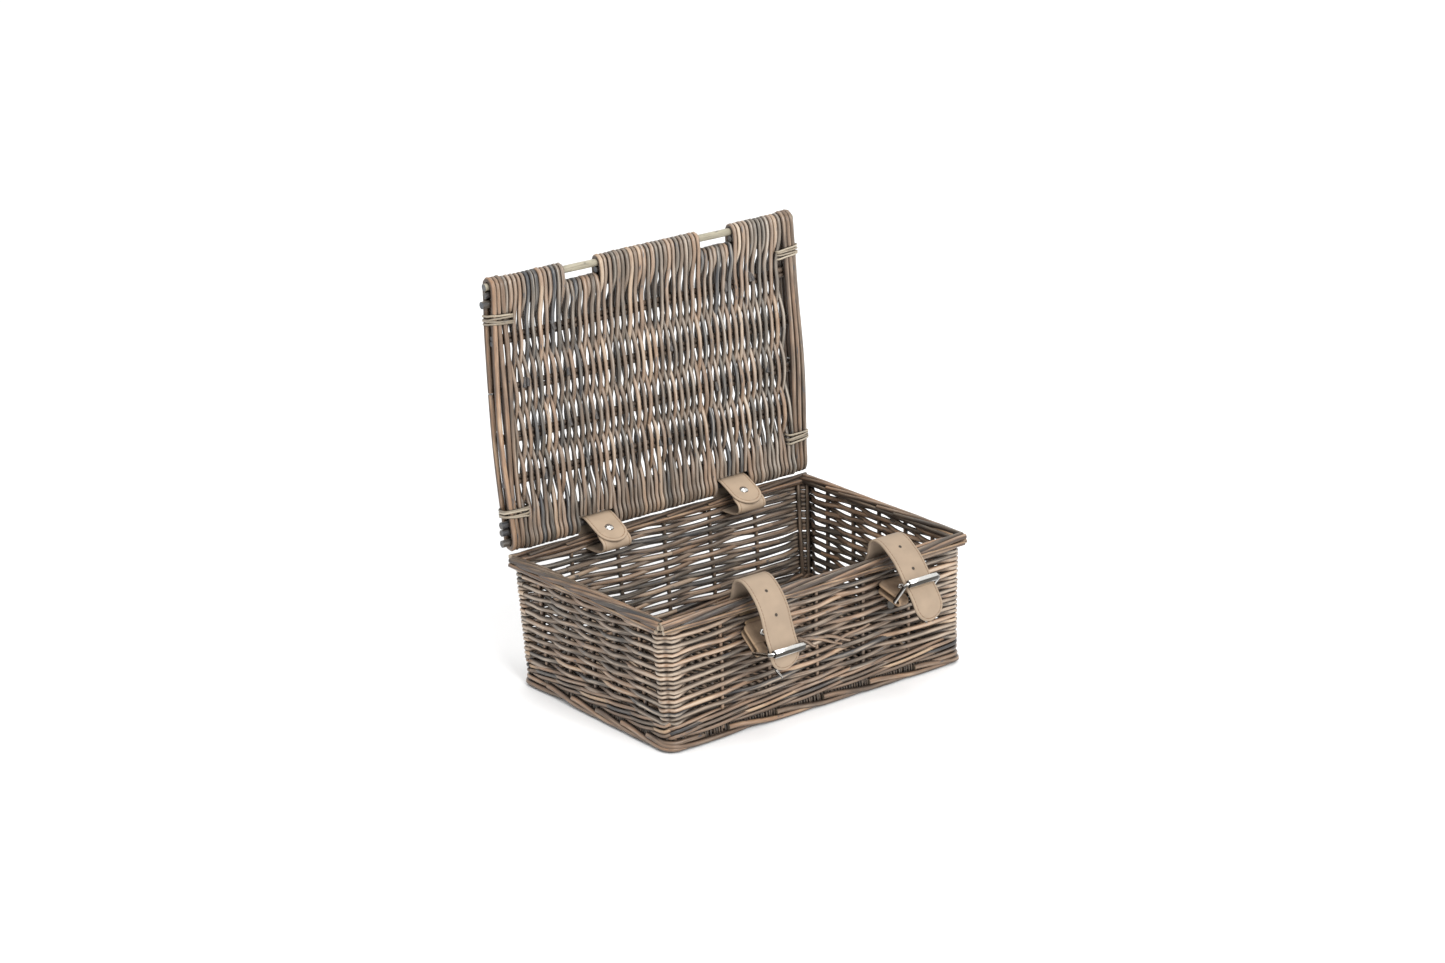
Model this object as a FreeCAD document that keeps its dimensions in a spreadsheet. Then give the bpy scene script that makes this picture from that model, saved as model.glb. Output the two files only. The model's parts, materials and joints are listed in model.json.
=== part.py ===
import FreeCAD, Part
import Sketcher
import math
import os
import re

from FreeCAD import Placement, Rotation, Vector

# A small willow hamper, in millimetres. X runs along the long front, +Y points to the hinged back,
# +Z is up, and the origin is the centre of the base's underside. The lid stands open.

DIMENSIONS = {
    # body
    "rim_width": 264,
    "rim_depth": 190,
    "body_height": 96,
    "foot_inset": 4,
    "foot_height": 9,
    "foot_bar_width": 9.5,
    "wale_top": 20,
    "border_height": 7,
    "border_width": 10.5,
    "border_overhang": 2,
    "wall_thickness": 7.5,
    "corner_radius": 11.5,
    "base_thickness": 8,
    "base_margin": 10,
    "base_stick_radius": 2,
    "base_stick_pitch": 32,
    "base_pair_pitch": 4.8,
    "stake_radius": 1.75,
    "stake_pitch": 40,
    "fit_gap": 0.1,
    # lid, measured along the lid from its hinge rod
    "hinge_y": 92,
    "hinge_z": 104,
    "lid_lean": 1.76,
    "lid_half_thickness": 5.4,
    "hinge_rod_radius": 2.6,
    "rear_stick_radius": 2.4,
    "rear_stick_two": 7.5,
    "rear_stick_three": 13.0,
    "rib_radius": 2.2,
    "rib_pair_pitch": 5,
    "rib_row_one": 43,
    "rib_row_two": 73.5,
    "rib_row_three": 108,
    "rib_row_four": 141.5,
    "edge_rod_radius": 2.7,
    "edge_rod_position": 182.5,
    "edge_stick_pitch": 5.5,
    "inner_edge_stick": 170.6,
    "lid_panel_half_width": 118.3,
    "lid_stick_half_length": 131,
    "side_rod_radius": 1.9,
    "side_rod_pitch": 4,
    "side_rod_inner": 121,
    "binding_height": 9,
    "binding_wall": 0.7,
    # fastenings
    "slot_width": 28,
    "leather_width": 24,
    "strap_thickness": 2,
    "loop_thickness": 1.5,
    "chape_thickness": 1.8,
    "chape_inner_radius": 1.75,
    "wire_radius": 1.4,
    "arm_length": 21.5,
    "arm_offset": 14.6,
    "frame_corner_radius": 3,
    "roller_radius": 2.9,
    "roller_bore_radius": 1.75,
    "roller_length": 24.6,
    "tongue_radius": 1.05,
    "tongue_length": 15.5,
    "tongue_tip_length": 7,
    "tongue_bend": 40,
    "shank_radius": 1.2,
    "shank_fit": 0.06,
    "rivet_head_radius": 3.3,
}

document = FreeCAD.newDocument("WillowHamper")
sheet = document.addObject("Spreadsheet::Sheet", "Dimensions")
for row, (name, value) in enumerate(DIMENSIONS.items(), start=1):
    sheet.set(f"A{row}", name)
    sheet.set(f"B{row}", str(value))
    sheet.setAlias(f"B{row}", name)
document.recompute()

SIZE = {name: float(sheet.get(name)) for name in DIMENSIONS}
PARTS = []

X_AXIS, Y_AXIS, Z_AXIS = Vector(1, 0, 0), Vector(0, 1, 0), Vector(0, 0, 1)
SIDES = {"left": -1, "right": 1}
HINGE = Vector(0, SIZE["hinge_y"], SIZE["hinge_z"])
FLARE = math.degrees(math.atan(SIZE["foot_inset"] / SIZE["body_height"]))
WALE_BASE = SIZE["foot_height"]
SIDING_TOP = SIZE["body_height"] - SIZE["border_height"]


def cell(formula):
    """Turn the dimension names in a formula into references to the sheet's cells."""
    return re.sub(r"[a-z][a-z_]+", lambda word: f"Dimensions.{word.group()}"
                  if word.group() in DIMENSIONS else word.group(), formula)


def keep(thing, label):
    thing.Label = label
    PARTS.append(thing)
    return thing


# --- builders -------------------------------------------------------------------------------------

def new_sketch(body, role):
    sketch = body.newObject("Sketcher::SketchObject", body.Name + "Sketch")
    plane = [item for item in body.Origin.OriginFeatures if item.Role == role][0]
    sketch.AttachmentSupport = [(plane, "")]
    sketch.MapMode = "FlatFace"
    return sketch


def bind_point(sketch, index, corner, formulas):
    for kind, formula in zip(("DistanceX", "DistanceY"), formulas):
        number = sketch.addConstraint(Sketcher.Constraint(kind, -1, 1, index, corner, 1.0))
        sketch.setExpression(f"Constraints[{number}]", cell(formula))


def add_polygon(sketch, corners):
    """A closed outline whose every corner is a pair of formulas in the sheet's dimensions."""
    first, count = sketch.GeometryCount, len(corners)
    ring = [Vector(math.cos(2 * math.pi * k / count), math.sin(2 * math.pi * k / count), 0)
            for k in range(count)]
    for k in range(count):
        sketch.addGeometry(Part.LineSegment(ring[k], ring[(k + 1) % count]), False)
    for k in range(count):
        following = first + (k + 1) % count
        sketch.addConstraint(Sketcher.Constraint("Coincident", first + k, 2, following, 1))
    for k, formulas in enumerate(corners):
        bind_point(sketch, first + k, 1, formulas)


def add_circle(sketch, centre, radius):
    index = sketch.addGeometry(Part.Circle(Vector(), Z_AXIS, 1), False)
    bind_point(sketch, index, 3, centre)
    number = sketch.addConstraint(Sketcher.Constraint("Radius", index, 1.0))
    sketch.setExpression(f"Constraints[{number}]", cell(radius))


def padded_body(name, role, corners, length, circles=()):
    """A pad, centred on its sketch's plane, of a polygon with round holes."""
    body = document.addObject("PartDesign::Body", name)
    sketch = new_sketch(body, role)
    add_polygon(sketch, corners)
    for centre, radius in circles:
        add_circle(sketch, centre, radius)
    pad = body.newObject("PartDesign::Pad", name + "Pad")
    pad.Profile = sketch
    pad.SideType = "Symmetric"
    pad.setExpression("Length", cell(length))
    sketch.Visibility = False
    return body


def round_bar(name, radius, length, middle, direction):
    """A cylinder with its middle at a point, along a direction."""
    bar = document.addObject("Part::Cylinder", name)
    bar.setExpression("Radius", cell(radius))
    bar.setExpression("Height", cell(length))
    bar.recompute()
    along = Vector(direction).normalize()
    bar.Placement = Placement(middle - along * (bar.Height.Value / 2), Rotation(Z_AXIS, along))
    return bar


def block(name, low, high):
    box = document.addObject("Part::Box", name)
    box.Length, box.Width, box.Height = high - low
    box.Placement.Base = low
    return box


def joined(name, pieces, label=None):
    if len(pieces) == 1:
        result = pieces[0]
    else:
        result = document.addObject("Part::MultiFuse", name)
        result.Shapes = pieces
    return keep(result, label) if label else result


def grouped(name, pieces, label):
    group = document.addObject("Part::Compound", name)
    group.Links = pieces
    return keep(group, label)


def cut_from(name, solid, tools, label):
    cut = document.addObject("Part::Cut", name)
    cut.Base = solid
    cut.Tool = joined(name + "Tools", tools)
    return keep(cut, label)


def on_lid(thing):
    """Move a piece drawn flat, with its hinge rod at the origin and the lid along Z, onto the lid."""
    lean = Rotation(X_AXIS, -SIZE["lid_lean"])
    thing.Placement = Placement(HINGE, lean).multiply(thing.Placement)
    return thing


# --- walls: foot, wale, siding, border -----------------------------------------------------------

def wall_face(half, height, depth):
    """Distance of a wall's surface from the middle: half is the rim's half size, depth is inwards."""
    fall = f"foot_inset * (body_height - {height}) / body_height"
    return f"({half} - border_overhang - {fall} - {depth})"


def wall_section(half, low, high, sign):
    corners = [(low, "0"), (low, "wall_thickness"), (high, "wall_thickness"), (high, "0")]
    return [(f"{sign} * {wall_face(half, height, depth)}", height) for height, depth in corners]


def bar_section(outer, width, low, high, bevel, sign):
    """A rectangle with its four corners bevelled, for a bundle of rods seen end on."""
    inner = f"({outer} - {width})"
    return [(f"{sign} * ({outer} - {bevel})", low), (f"{sign} * {outer}", f"{low} + {bevel}"),
            (f"{sign} * {outer}", f"{high} - {bevel}"), (f"{sign} * ({outer} - {bevel})", high),
            (f"{sign} * ({inner} + {bevel})", high), (f"{sign} * {inner}", f"{high} - {bevel}"),
            (f"{sign} * {inner}", f"{low} + {bevel}"), (f"{sign} * ({inner} + {bevel})", low)]


def stake(name, across, side, sign):
    """One upright stake in a wall: across is its place along the wall."""
    half = SIZE["rim_depth"] / 2 if side == "long" else SIZE["rim_width"] / 2
    middle = WALE_BASE + (SIDING_TOP - WALE_BASE) / 2
    fall = SIZE["foot_inset"] * (1 - middle / SIZE["body_height"])
    out = sign * (half - SIZE["border_overhang"] - fall - SIZE["wall_thickness"] / 2)
    lean = sign * math.tan(math.radians(FLARE))
    if side == "long":
        place, direction = Vector(across, out, middle), Vector(0, lean, 1)
    else:
        place, direction = Vector(out, across, middle), Vector(lean, 0, 1)
    length = "body_height - border_height - foot_height - 1"
    return (round_bar(name, "stake_radius", length, place, direction),
            round_bar(name + "Hole", "stake_radius + fit_gap", "body_height", place, direction))


FRONT_X = {"left": -54.0, "right": 61.5}
LOOP_X = {"left": -55.5, "right": 62.0}
SLOT_X = {"left": -55.5, "right": 60.0}
BUCKLE_BAR = {"left": Vector(-54.0, -108, 62.8), "right": Vector(61.5, -114.2, 70.5)}
CHAPE_RISE = {"left": 38.0, "right": 12.2}
ARM_RISE = {"left": 12.0, "right": 50.0}
TONGUE_DROP = {"left": 67.0, "right": 50.0}
LOOP_SLOT = {"low": 84.4, "high": 87.4}


def chape_slot(side):
    """Two flat passages through the front wall, one for each leg of a chape."""
    bar, rise = BUCKLE_BAR[side], CHAPE_RISE[side]
    passages = []
    for sign in (-1, 1):
        low = SIZE["chape_inner_radius"] - 0.2
        high = SIZE["chape_inner_radius"] + SIZE["chape_thickness"] + 0.2
        half = SIZE["leather_width"] / 2 + 0.3
        inner, outer = (low, high) if sign > 0 else (-high, -low)
        slot = block(f"ChapeSlot{side}{sign + 1}", Vector(-half, 5, inner), Vector(half, 40, outer))
        slot.Placement = Placement(bar, Rotation(X_AXIS, rise)).multiply(slot.Placement)
        passages.append(slot)
    return passages


def loop_slot(side):
    half = SIZE["leather_width"] / 2 + 0.3
    x, low, high = LOOP_X[side], LOOP_SLOT["low"], LOOP_SLOT["high"]
    return [block("LoopSlot" + side, Vector(x - half, 75, low), Vector(x + half, 100, high))]


def anchor_hole(side):
    middle = Vector(FRONT_X[side], -SIZE["rim_depth"] / 2, STRAP_ANCHOR_HEIGHT)
    return [round_bar("AnchorHole" + side, "shank_radius + shank_fit", "wall_thickness * 4", middle, Y_AXIS)]


STRAP_ANCHOR_HEIGHT = 60.0

LONG_STAKES = [-80, -40, 0, 40, 80]
SHORT_STAKES = [-60, -30, 0, 30, 60]
CORNER_TAKE = "2 * (foot_inset + border_overhang + corner_radius) + 0.2"
WALLS = {
    # name: half size, sketch plane, outward sign, length, kind of side, stake places
    "front": ("rim_depth / 2", "YZ_Plane", -1, "rim_width", "long", LONG_STAKES),
    "back": ("rim_depth / 2", "YZ_Plane", 1, "rim_width", "long", LONG_STAKES),
    "left": ("rim_width / 2", "XZ_Plane", -1, "rim_depth", "short", SHORT_STAKES),
    "right": ("rim_width / 2", "XZ_Plane", 1, "rim_depth", "short", SHORT_STAKES),
}


def build_wall(name):
    half, plane, sign, whole, side, places = WALLS[name]
    length = f"({whole} - ({CORNER_TAKE}))"
    title = name.capitalize()
    stakes, holes = [], []
    for k, across in enumerate(places):
        solid, hole = stake(f"{title}Stake{k}", across, side, sign)
        stakes.append(solid)
        holes.append(hole)
    grouped(title + "Stakes", stakes, name + "_stakes")

    foot_outer = f"({half} - foot_inset)"
    foot = padded_body(title + "Foot", plane,
                       bar_section(foot_outer, "foot_bar_width", "0", "foot_height", "1", sign), length)
    keep(foot, name + "_foot_border")

    wale = padded_body(title + "Wale", plane, wall_section(half, "foot_height", "wale_top", sign), length)
    cut_from(title + "WaleCut", wale, holes, name + "_wale")

    siding = padded_body(title + "Siding", plane,
                         wall_section(half, "wale_top", "(body_height - border_height)", sign), length)
    tools = [document.copyObject(hole) for hole in holes]
    for lean_side in SIDES:
        if name == "front":
            tools += chape_slot(lean_side) + anchor_hole(lean_side)
        if name == "back":
            tools += loop_slot(lean_side)
    cut_from(title + "SidingCut", siding, tools, name + "_siding")

    border_length = "rim_width" if side == "long" else "rim_depth - 2 * border_width"
    underside = "(body_height - border_height)"
    section = bar_section(f"({half})", "border_width", underside, "body_height", "1.5", sign)
    keep(padded_body(title + "Border", plane, section, border_length), name + "_border")


def corner_section(sign_x, sign_y, height):
    """The corner's plan at a height: two short wall ends joined by a round outer corner."""
    fall = SIZE["foot_inset"] * (1 - height / SIZE["body_height"])
    out_x = SIZE["rim_width"] / 2 - SIZE["border_overhang"] - fall
    out_y = SIZE["rim_depth"] / 2 - SIZE["border_overhang"] - fall
    in_x, in_y = out_x - SIZE["wall_thickness"], out_y - SIZE["wall_thickness"]
    radius = SIZE["corner_radius"]
    end_x = SIZE["rim_width"] / 2 - SIZE["foot_inset"] - SIZE["border_overhang"] - radius
    end_y = SIZE["rim_depth"] / 2 - SIZE["foot_inset"] - SIZE["border_overhang"] - radius
    turn = radius * (1 - math.sqrt(0.5))

    def at(x, y):
        return Vector(sign_x * x, sign_y * y, height)

    arc = Part.Arc(at(out_x - radius, out_y), at(out_x - turn, out_y - turn), at(out_x, out_y - radius))
    path = [at(out_x, out_y - radius), at(out_x, end_y), at(in_x, end_y), at(in_x, in_y),
            at(end_x, in_y), at(end_x, out_y), at(out_x - radius, out_y)]
    edges = [arc.toShape()] + [Part.makeLine(a, b) for a, b in zip(path, path[1:])]
    return Part.Wire(edges)


def build_corner(end, sign_y, side, sign_x):
    label = f"{end}_{side}"
    title = end.capitalize() + side.capitalize()
    low, high = 0.15, SIDING_TOP
    loft = document.addObject("Part::Feature", title + "Corner")
    loft.Shape = Part.makeLoft([corner_section(sign_x, sign_y, z) for z in (low, high)], True, True)
    stakes, holes = [], []
    middle = WALE_BASE + (SIDING_TOP - WALE_BASE) / 2
    fall = SIZE["foot_inset"] * (1 - middle / SIZE["body_height"])
    lean = math.tan(math.radians(FLARE))
    direction = Vector(sign_x * lean, sign_y * lean, 1)
    out_x = SIZE["rim_width"] / 2 - SIZE["border_overhang"] - fall
    out_y = SIZE["rim_depth"] / 2 - SIZE["border_overhang"] - fall
    for k, (inset_x, inset_y) in enumerate(((8.5, 4.4), (4.4, 8.5))):
        place = Vector(sign_x * (out_x - inset_x), sign_y * (out_y - inset_y), middle)
        length = "body_height - border_height - foot_height - 1"
        stakes.append(round_bar(f"{title}Post{k}", "stake_radius", length, place, direction))
        bore = "stake_radius + fit_gap"
        holes.append(round_bar(f"{title}PostHole{k}", bore, "body_height", place, direction))
    cut_from(title + "CornerCut", loft, holes, f"{label}_corner_weave")
    return stakes


# --- base ------------------------------------------------------------------------------------------

def build_base():
    half_x = f"({wall_face('rim_width / 2', '0', 'wall_thickness')} - 0.3)"
    half_y = f"({wall_face('rim_depth / 2', '0', 'wall_thickness')} - 0.3)"
    rows = [f"({k} * base_stick_pitch + {sign} * base_pair_pitch / 2)" for k in (-2, -1, 0, 1, 2)
            for sign in (-1, 1)]
    circles = [((row, "base_thickness / 2"), "base_stick_radius + fit_gap") for row in rows]
    top = "base_thickness"
    outline = [(f"-{half_y}", "0"), (half_y, "0"), (half_y, top), (f"-{half_y}", top)]
    keep(padded_body("BaseWeave", "YZ_Plane", outline, f"2 * {half_x}", circles), "base_weave")
    sticks = []
    for k in range(-2, 3):
        for sign in (-1, 1):
            y = k * SIZE["base_stick_pitch"] + sign * SIZE["base_pair_pitch"] / 2
            middle = Vector(0, y, SIZE["base_thickness"] / 2)
            length = f"2 * {half_x} - base_margin"
            name = f"BaseStick{k + 2}{sign + 1}"
            sticks.append(round_bar(name, "base_stick_radius", length, middle, X_AXIS))
    grouped("BaseSticks", sticks, "base_sticks")


# --- lid, drawn with the hinge rod along X at the origin and the panel rising along Z --------------

def lid_stick(name, radius, position, low, high):
    length = f"{high - low}"
    middle = Vector((low + high) / 2, 0, position)
    return round_bar(name, radius, length, middle, X_AXIS)


def half_round(centre, radius, direction):
    """Corners of a half circle in the lid's section, from one face to the other."""
    steps = 8
    turned = [math.pi * k / steps for k in range(steps + 1)]
    return [(f"-({radius}) * {math.cos(a):.5f}", f"{centre} + {direction} * ({radius}) * {math.sin(a):.5f}")
            for a in turned]


def build_lid_weave():
    ribs = ["rib_row_one", "rib_row_two", "rib_row_three", "rib_row_four"]
    circles = [(("0", "0"), "hinge_rod_radius + fit_gap"),
               (("0", "rear_stick_two"), "rear_stick_radius + fit_gap"),
               (("0", "rear_stick_three"), "hinge_rod_radius + fit_gap"),
               (("0", "inner_edge_stick"), "edge_rod_radius + fit_gap")]
    for row in ribs:
        for sign in (-1, 1):
            circles.append((("0", f"{row} + {sign} * rib_pair_pitch / 2"), "rib_radius + fit_gap"))
    top = "edge_rod_position - 1.5 * edge_stick_pitch - 0.1"
    outline = half_round("0", "lid_half_thickness", -1)
    outline += [("lid_half_thickness", top), ("-lid_half_thickness", top)]
    panel = padded_body("LidWeave", "YZ_Plane", outline, "2 * lid_panel_half_width", circles)
    half = SIZE["leather_width"] / 2 + 0.6
    reach = SIZE["rear_stick_two"] - SIZE["rear_stick_radius"] + 0.2
    windows = [block("LoopWindow" + side, Vector(x - half, -9, -9), Vector(x + half, 9, reach))
               for side, x in LOOP_X.items()]
    on_lid(cut_from("LidWeaveCut", panel, windows, "lid_weave"))


def edge_weave(name, low, high, label):
    """Weavers wrapped over the free edge's two outer sticks, between two places along X."""
    bottom = "edge_rod_position - 1.5 * edge_stick_pitch + 0.1"
    outline = half_round("edge_rod_position", "lid_half_thickness", 1) + [
        ("lid_half_thickness", bottom), ("-lid_half_thickness", bottom)]
    circles = [(("0", "edge_rod_position"), "edge_rod_radius + fit_gap"),
               (("0", "edge_rod_position - edge_stick_pitch"), "rear_stick_radius + fit_gap")]
    body = padded_body(name, "YZ_Plane", outline, f"{high - low}", circles)
    body.Placement.Base = Vector((low + high) / 2, 0, 0)
    keep(on_lid(body), label)


def build_lid():
    end, panel = SIZE["lid_stick_half_length"], SIZE["lid_panel_half_width"]
    build_lid_weave()

    keep(on_lid(lid_stick("HingeRod", "hinge_rod_radius", 0, -end, end)), "lid_hinge_rod")
    rear = [on_lid(lid_stick("RearStickTwo", "rear_stick_radius", SIZE["rear_stick_two"], -end, end)),
            on_lid(lid_stick("RearStickThree", "hinge_rod_radius", SIZE["rear_stick_three"], -end, end))]
    grouped("RearSticks", rear, "lid_rear_sticks")
    ribs = []
    for row in ("rib_row_one", "rib_row_two", "rib_row_three", "rib_row_four"):
        for sign in (-1, 1):
            position = SIZE[row] + sign * SIZE["rib_pair_pitch"] / 2
            ribs.append(on_lid(lid_stick(f"{row}Rib{sign + 1}", "rib_radius", position, -end, end)))
    grouped("Ribs", ribs, "lid_ribs")

    outer = SIZE["edge_rod_position"]
    middle, inner = outer - SIZE["edge_stick_pitch"], SIZE["inner_edge_stick"]
    keep(on_lid(lid_stick("EdgeRod", "edge_rod_radius", outer, -end, end)), "lid_edge_rod")
    keep(on_lid(lid_stick("InnerEdgeStick", "edge_rod_radius", inner, -end, end)), "lid_inner_edge_stick")

    half_slot = SIZE["slot_width"] / 2
    left, right = SLOT_X["left"], SLOT_X["right"]
    stretches = {"left": (-end, left - half_slot), "centre": (left + half_slot, right - half_slot),
                 "right": (right + half_slot, end)}
    sticks = []
    for name, (low, high) in stretches.items():
        sticks.append(on_lid(lid_stick("MiddleStick" + name, "rear_stick_radius", middle, low, high)))
        low, high = max(low, -panel), min(high, panel)
        edge_weave("EdgeWeave" + name, low, high, f"lid_edge_weave_{name}")
    grouped("MiddleEdgeSticks", sticks, "lid_middle_edge_sticks")

    for side, sign in SIDES.items():
        build_side_rods(side, sign)
    build_bindings()


def build_side_rods(side, sign):
    rods = []
    low, high = -2.0, SIZE["edge_rod_position"] + 2.5
    offset = SIZE["edge_rod_radius"] + SIZE["side_rod_radius"] + SIZE["fit_gap"]
    for k in range(3):
        for face in (-1, 1):
            x = sign * (SIZE["side_rod_inner"] + k * SIZE["side_rod_pitch"])
            middle = Vector(x, face * offset, (low + high) / 2)
            rods.append(on_lid(round_bar(f"SideRod{side}{k}{face + 1}", "side_rod_radius",
                                         f"{high - low}", middle, Z_AXIS)))
    grouped("SideRods" + side, rods, f"lid_side_rods_{side}")


def build_bindings():
    """A band of skein round the side rods near each corner of the lid."""
    bands = []
    wall, height = SIZE["binding_wall"], SIZE["binding_height"]
    inner_x = SIZE["side_rod_inner"] - SIZE["side_rod_radius"] - 0.1
    outer_x = SIZE["side_rod_inner"] + 2 * SIZE["side_rod_pitch"] + SIZE["side_rod_radius"] + 0.3
    inner_y = SIZE["edge_rod_radius"] + 2 * SIZE["side_rod_radius"] + 0.3
    for side, sign in SIDES.items():
        for k, low in enumerate((17.5, 155.5)):
            inside = sorted((sign * inner_x, sign * outer_x))
            outside = sorted((sign * (inner_x - wall + 0.05), sign * (outer_x + wall)))
            hollow = block(f"BindingHollow{side}{k}", Vector(inside[0], -inner_y, low - 1),
                           Vector(inside[1], inner_y, low + height + 1))
            solid = block(f"BindingSolid{side}{k}", Vector(outside[0], -inner_y - wall, low),
                          Vector(outside[1], inner_y + wall, low + height))
            band = document.addObject("Part::Cut", f"Binding{side}{k}")
            band.Base, band.Tool = solid, hollow
            bands.append(on_lid(band))
    grouped("CornerBindings", bands, "lid_corner_bindings")


# --- leather ---------------------------------------------------------------------------------------

def ribbon(points, thickness, width, middle_x):
    """A strip of leather: a smooth line through points (y, z), thickened and drawn out along X."""
    line = Part.BSplineCurve()
    line.interpolate([Vector(0, y, z) for y, z in points])
    first, last = line.FirstParameter, line.LastParameter
    steps = 6 * len(points)
    faces = {-1: [], 1: []}
    for k in range(steps + 1):
        parameter = first + (last - first) * k / steps
        across = line.tangent(parameter)[0].cross(X_AXIS)
        for side, run in faces.items():
            run.append(line.value(parameter) + across * (side * thickness / 2))
    edges = []
    for run in faces.values():
        curve = Part.BSplineCurve()
        curve.interpolate(run)
        edges.append(curve.toShape())
    edges += [Part.makeLine(faces[-1][end], faces[1][end]) for end in (0, -1)]
    outline = Part.Wire(Part.__sortEdges__(edges))
    strip = Part.Face(outline).extrude(Vector(width, 0, 0))
    strip.translate(Vector(middle_x - width / 2, 0, 0))
    return strip


def hole_through(strip, middle, direction):
    """A rivet's hole through every layer of leather within reach of a point."""
    reach = 8.0
    radius = SIZE["shank_radius"] + SIZE["shank_fit"]
    return strip.cut(Part.makeCylinder(radius, reach, middle - direction * (reach / 2), direction))


STRAP_START = [(-82.2, 54), (-82.4, 60), (-81.6, 66.5), (-78.8, 74), (-77.3, 82), (-79.2, 89), (-82.9, 95.6)]
STRAP_PATH = {
    "left": STRAP_START + [(-84.2, 100.6), (-85.2, 104), (-87.3, 107), (-91, 108.8), (-95.2, 108.8),
                           (-100, 106.9), (-105.2, 103.2),
                           (-110.5, 97.6), (-114.8, 90.8), (-117.8, 82), (-120.6, 74), (-123.7, 67),
                           (-124.6, 60), (-123.2, 52)],
    "right": STRAP_START + [(-84.2, 100.6), (-85.2, 104), (-87.3, 107), (-91, 108.6), (-95.4, 108.4),
                            (-100.2, 106.6), (-105.6, 103.2),
                            (-111, 99.3), (-115.9, 94.2), (-120.2, 88.7), (-124.3, 83.2), (-128.9, 77.9),
                            (-132.7, 72.2), (-134.8, 66), (-134.8, 59.8)],
}
LOOP_PATH = [(62.8, 95.0), (69, 98.2), (75.5, 101.4), (82, 104.5), (87.6, 106.9), (92, 107.65),
             (94.9, 106.2), (96.1, 103), (96.4, 97), (96.2, 90.6), (94.6, 87.2), (91.2, 86.1),
             (84, 85.8), (76, 86), (69.6, 87.3), (65.9, 90.4), (66.3, 94.0), (70.2, 96.8),
             (75.7, 99.55), (80.5, 101.8)]
TAB_SLOPE = 26.2
LOOP_RIVET = (75.6, 100.5)


def rivet(name, middle, direction, reach, label, dome=False, bore=False):
    """A rivet with a head at each end; reach is the length of shank between the heads."""
    head = SIZE["rivet_head_radius"]
    frame = Placement(middle, Rotation(Z_AXIS, direction))
    shank = Part.makeCylinder(SIZE["shank_radius"], reach, Vector(0, 0, -reach / 2))
    foot = Part.makeCylinder(head, 0.8, Vector(0, 0, -reach / 2 - 0.8))
    if dome:
        height = 1.6
        ball_radius = (head ** 2 + height ** 2) / (2 * height)
        ball = Part.makeSphere(ball_radius, Vector(0, 0, reach / 2 + height - ball_radius))
        cap = ball.common(Part.makeCylinder(head, height, Vector(0, 0, reach / 2)))
    else:
        cap = Part.makeCylinder(head, 0.8, Vector(0, 0, reach / 2))
    shape = shank.multiFuse([foot, cap]).removeSplitter()
    if bore:
        shape = shape.cut(Part.makeCylinder(0.9, 3, Vector(0, 0, reach / 2 - 1.5)))
    piece = document.addObject("Part::Feature", name)
    piece.Shape = shape
    piece.Placement = frame
    keep(piece, label)


def build_leather(side):
    width = SIZE["leather_width"]
    strap = document.addObject("Part::Feature", "FrontStrap" + side)
    shape = ribbon(STRAP_PATH[side], SIZE["strap_thickness"], width, FRONT_X[side])
    anchor = Vector(FRONT_X[side], STRAP_START[1][0], STRAP_ANCHOR_HEIGHT)
    strap.Shape = hole_through(shape, anchor, Y_AXIS)
    keep(strap, f"front_strap_{side}")
    inner_face, outer_face = -81.3, -91.7
    middle = Vector(FRONT_X[side], (inner_face + outer_face) / 2, STRAP_ANCHOR_HEIGHT)
    label = f"strap_anchor_rivet_{side}"
    rivet("AnchorRivet" + side, middle, Y_AXIS, inner_face - outer_face + 0.3, label)

    loop = document.addObject("Part::Feature", "HingeLoop" + side)
    shape = ribbon(LOOP_PATH, SIZE["loop_thickness"], width, LOOP_X[side])
    slope = math.radians(TAB_SLOPE)
    across = Vector(0, -math.sin(slope), math.cos(slope))
    middle = Vector(LOOP_X[side], *LOOP_RIVET)
    loop.Shape = hole_through(shape, middle, across)
    keep(loop, f"hinge_loop_{side}")
    reach = 2 * SIZE["loop_thickness"] + 0.5
    rivet("LoopRivet" + side, middle, across, reach, f"hinge_rivet_{side}", dome=True)
    build_chape(side)


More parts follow.
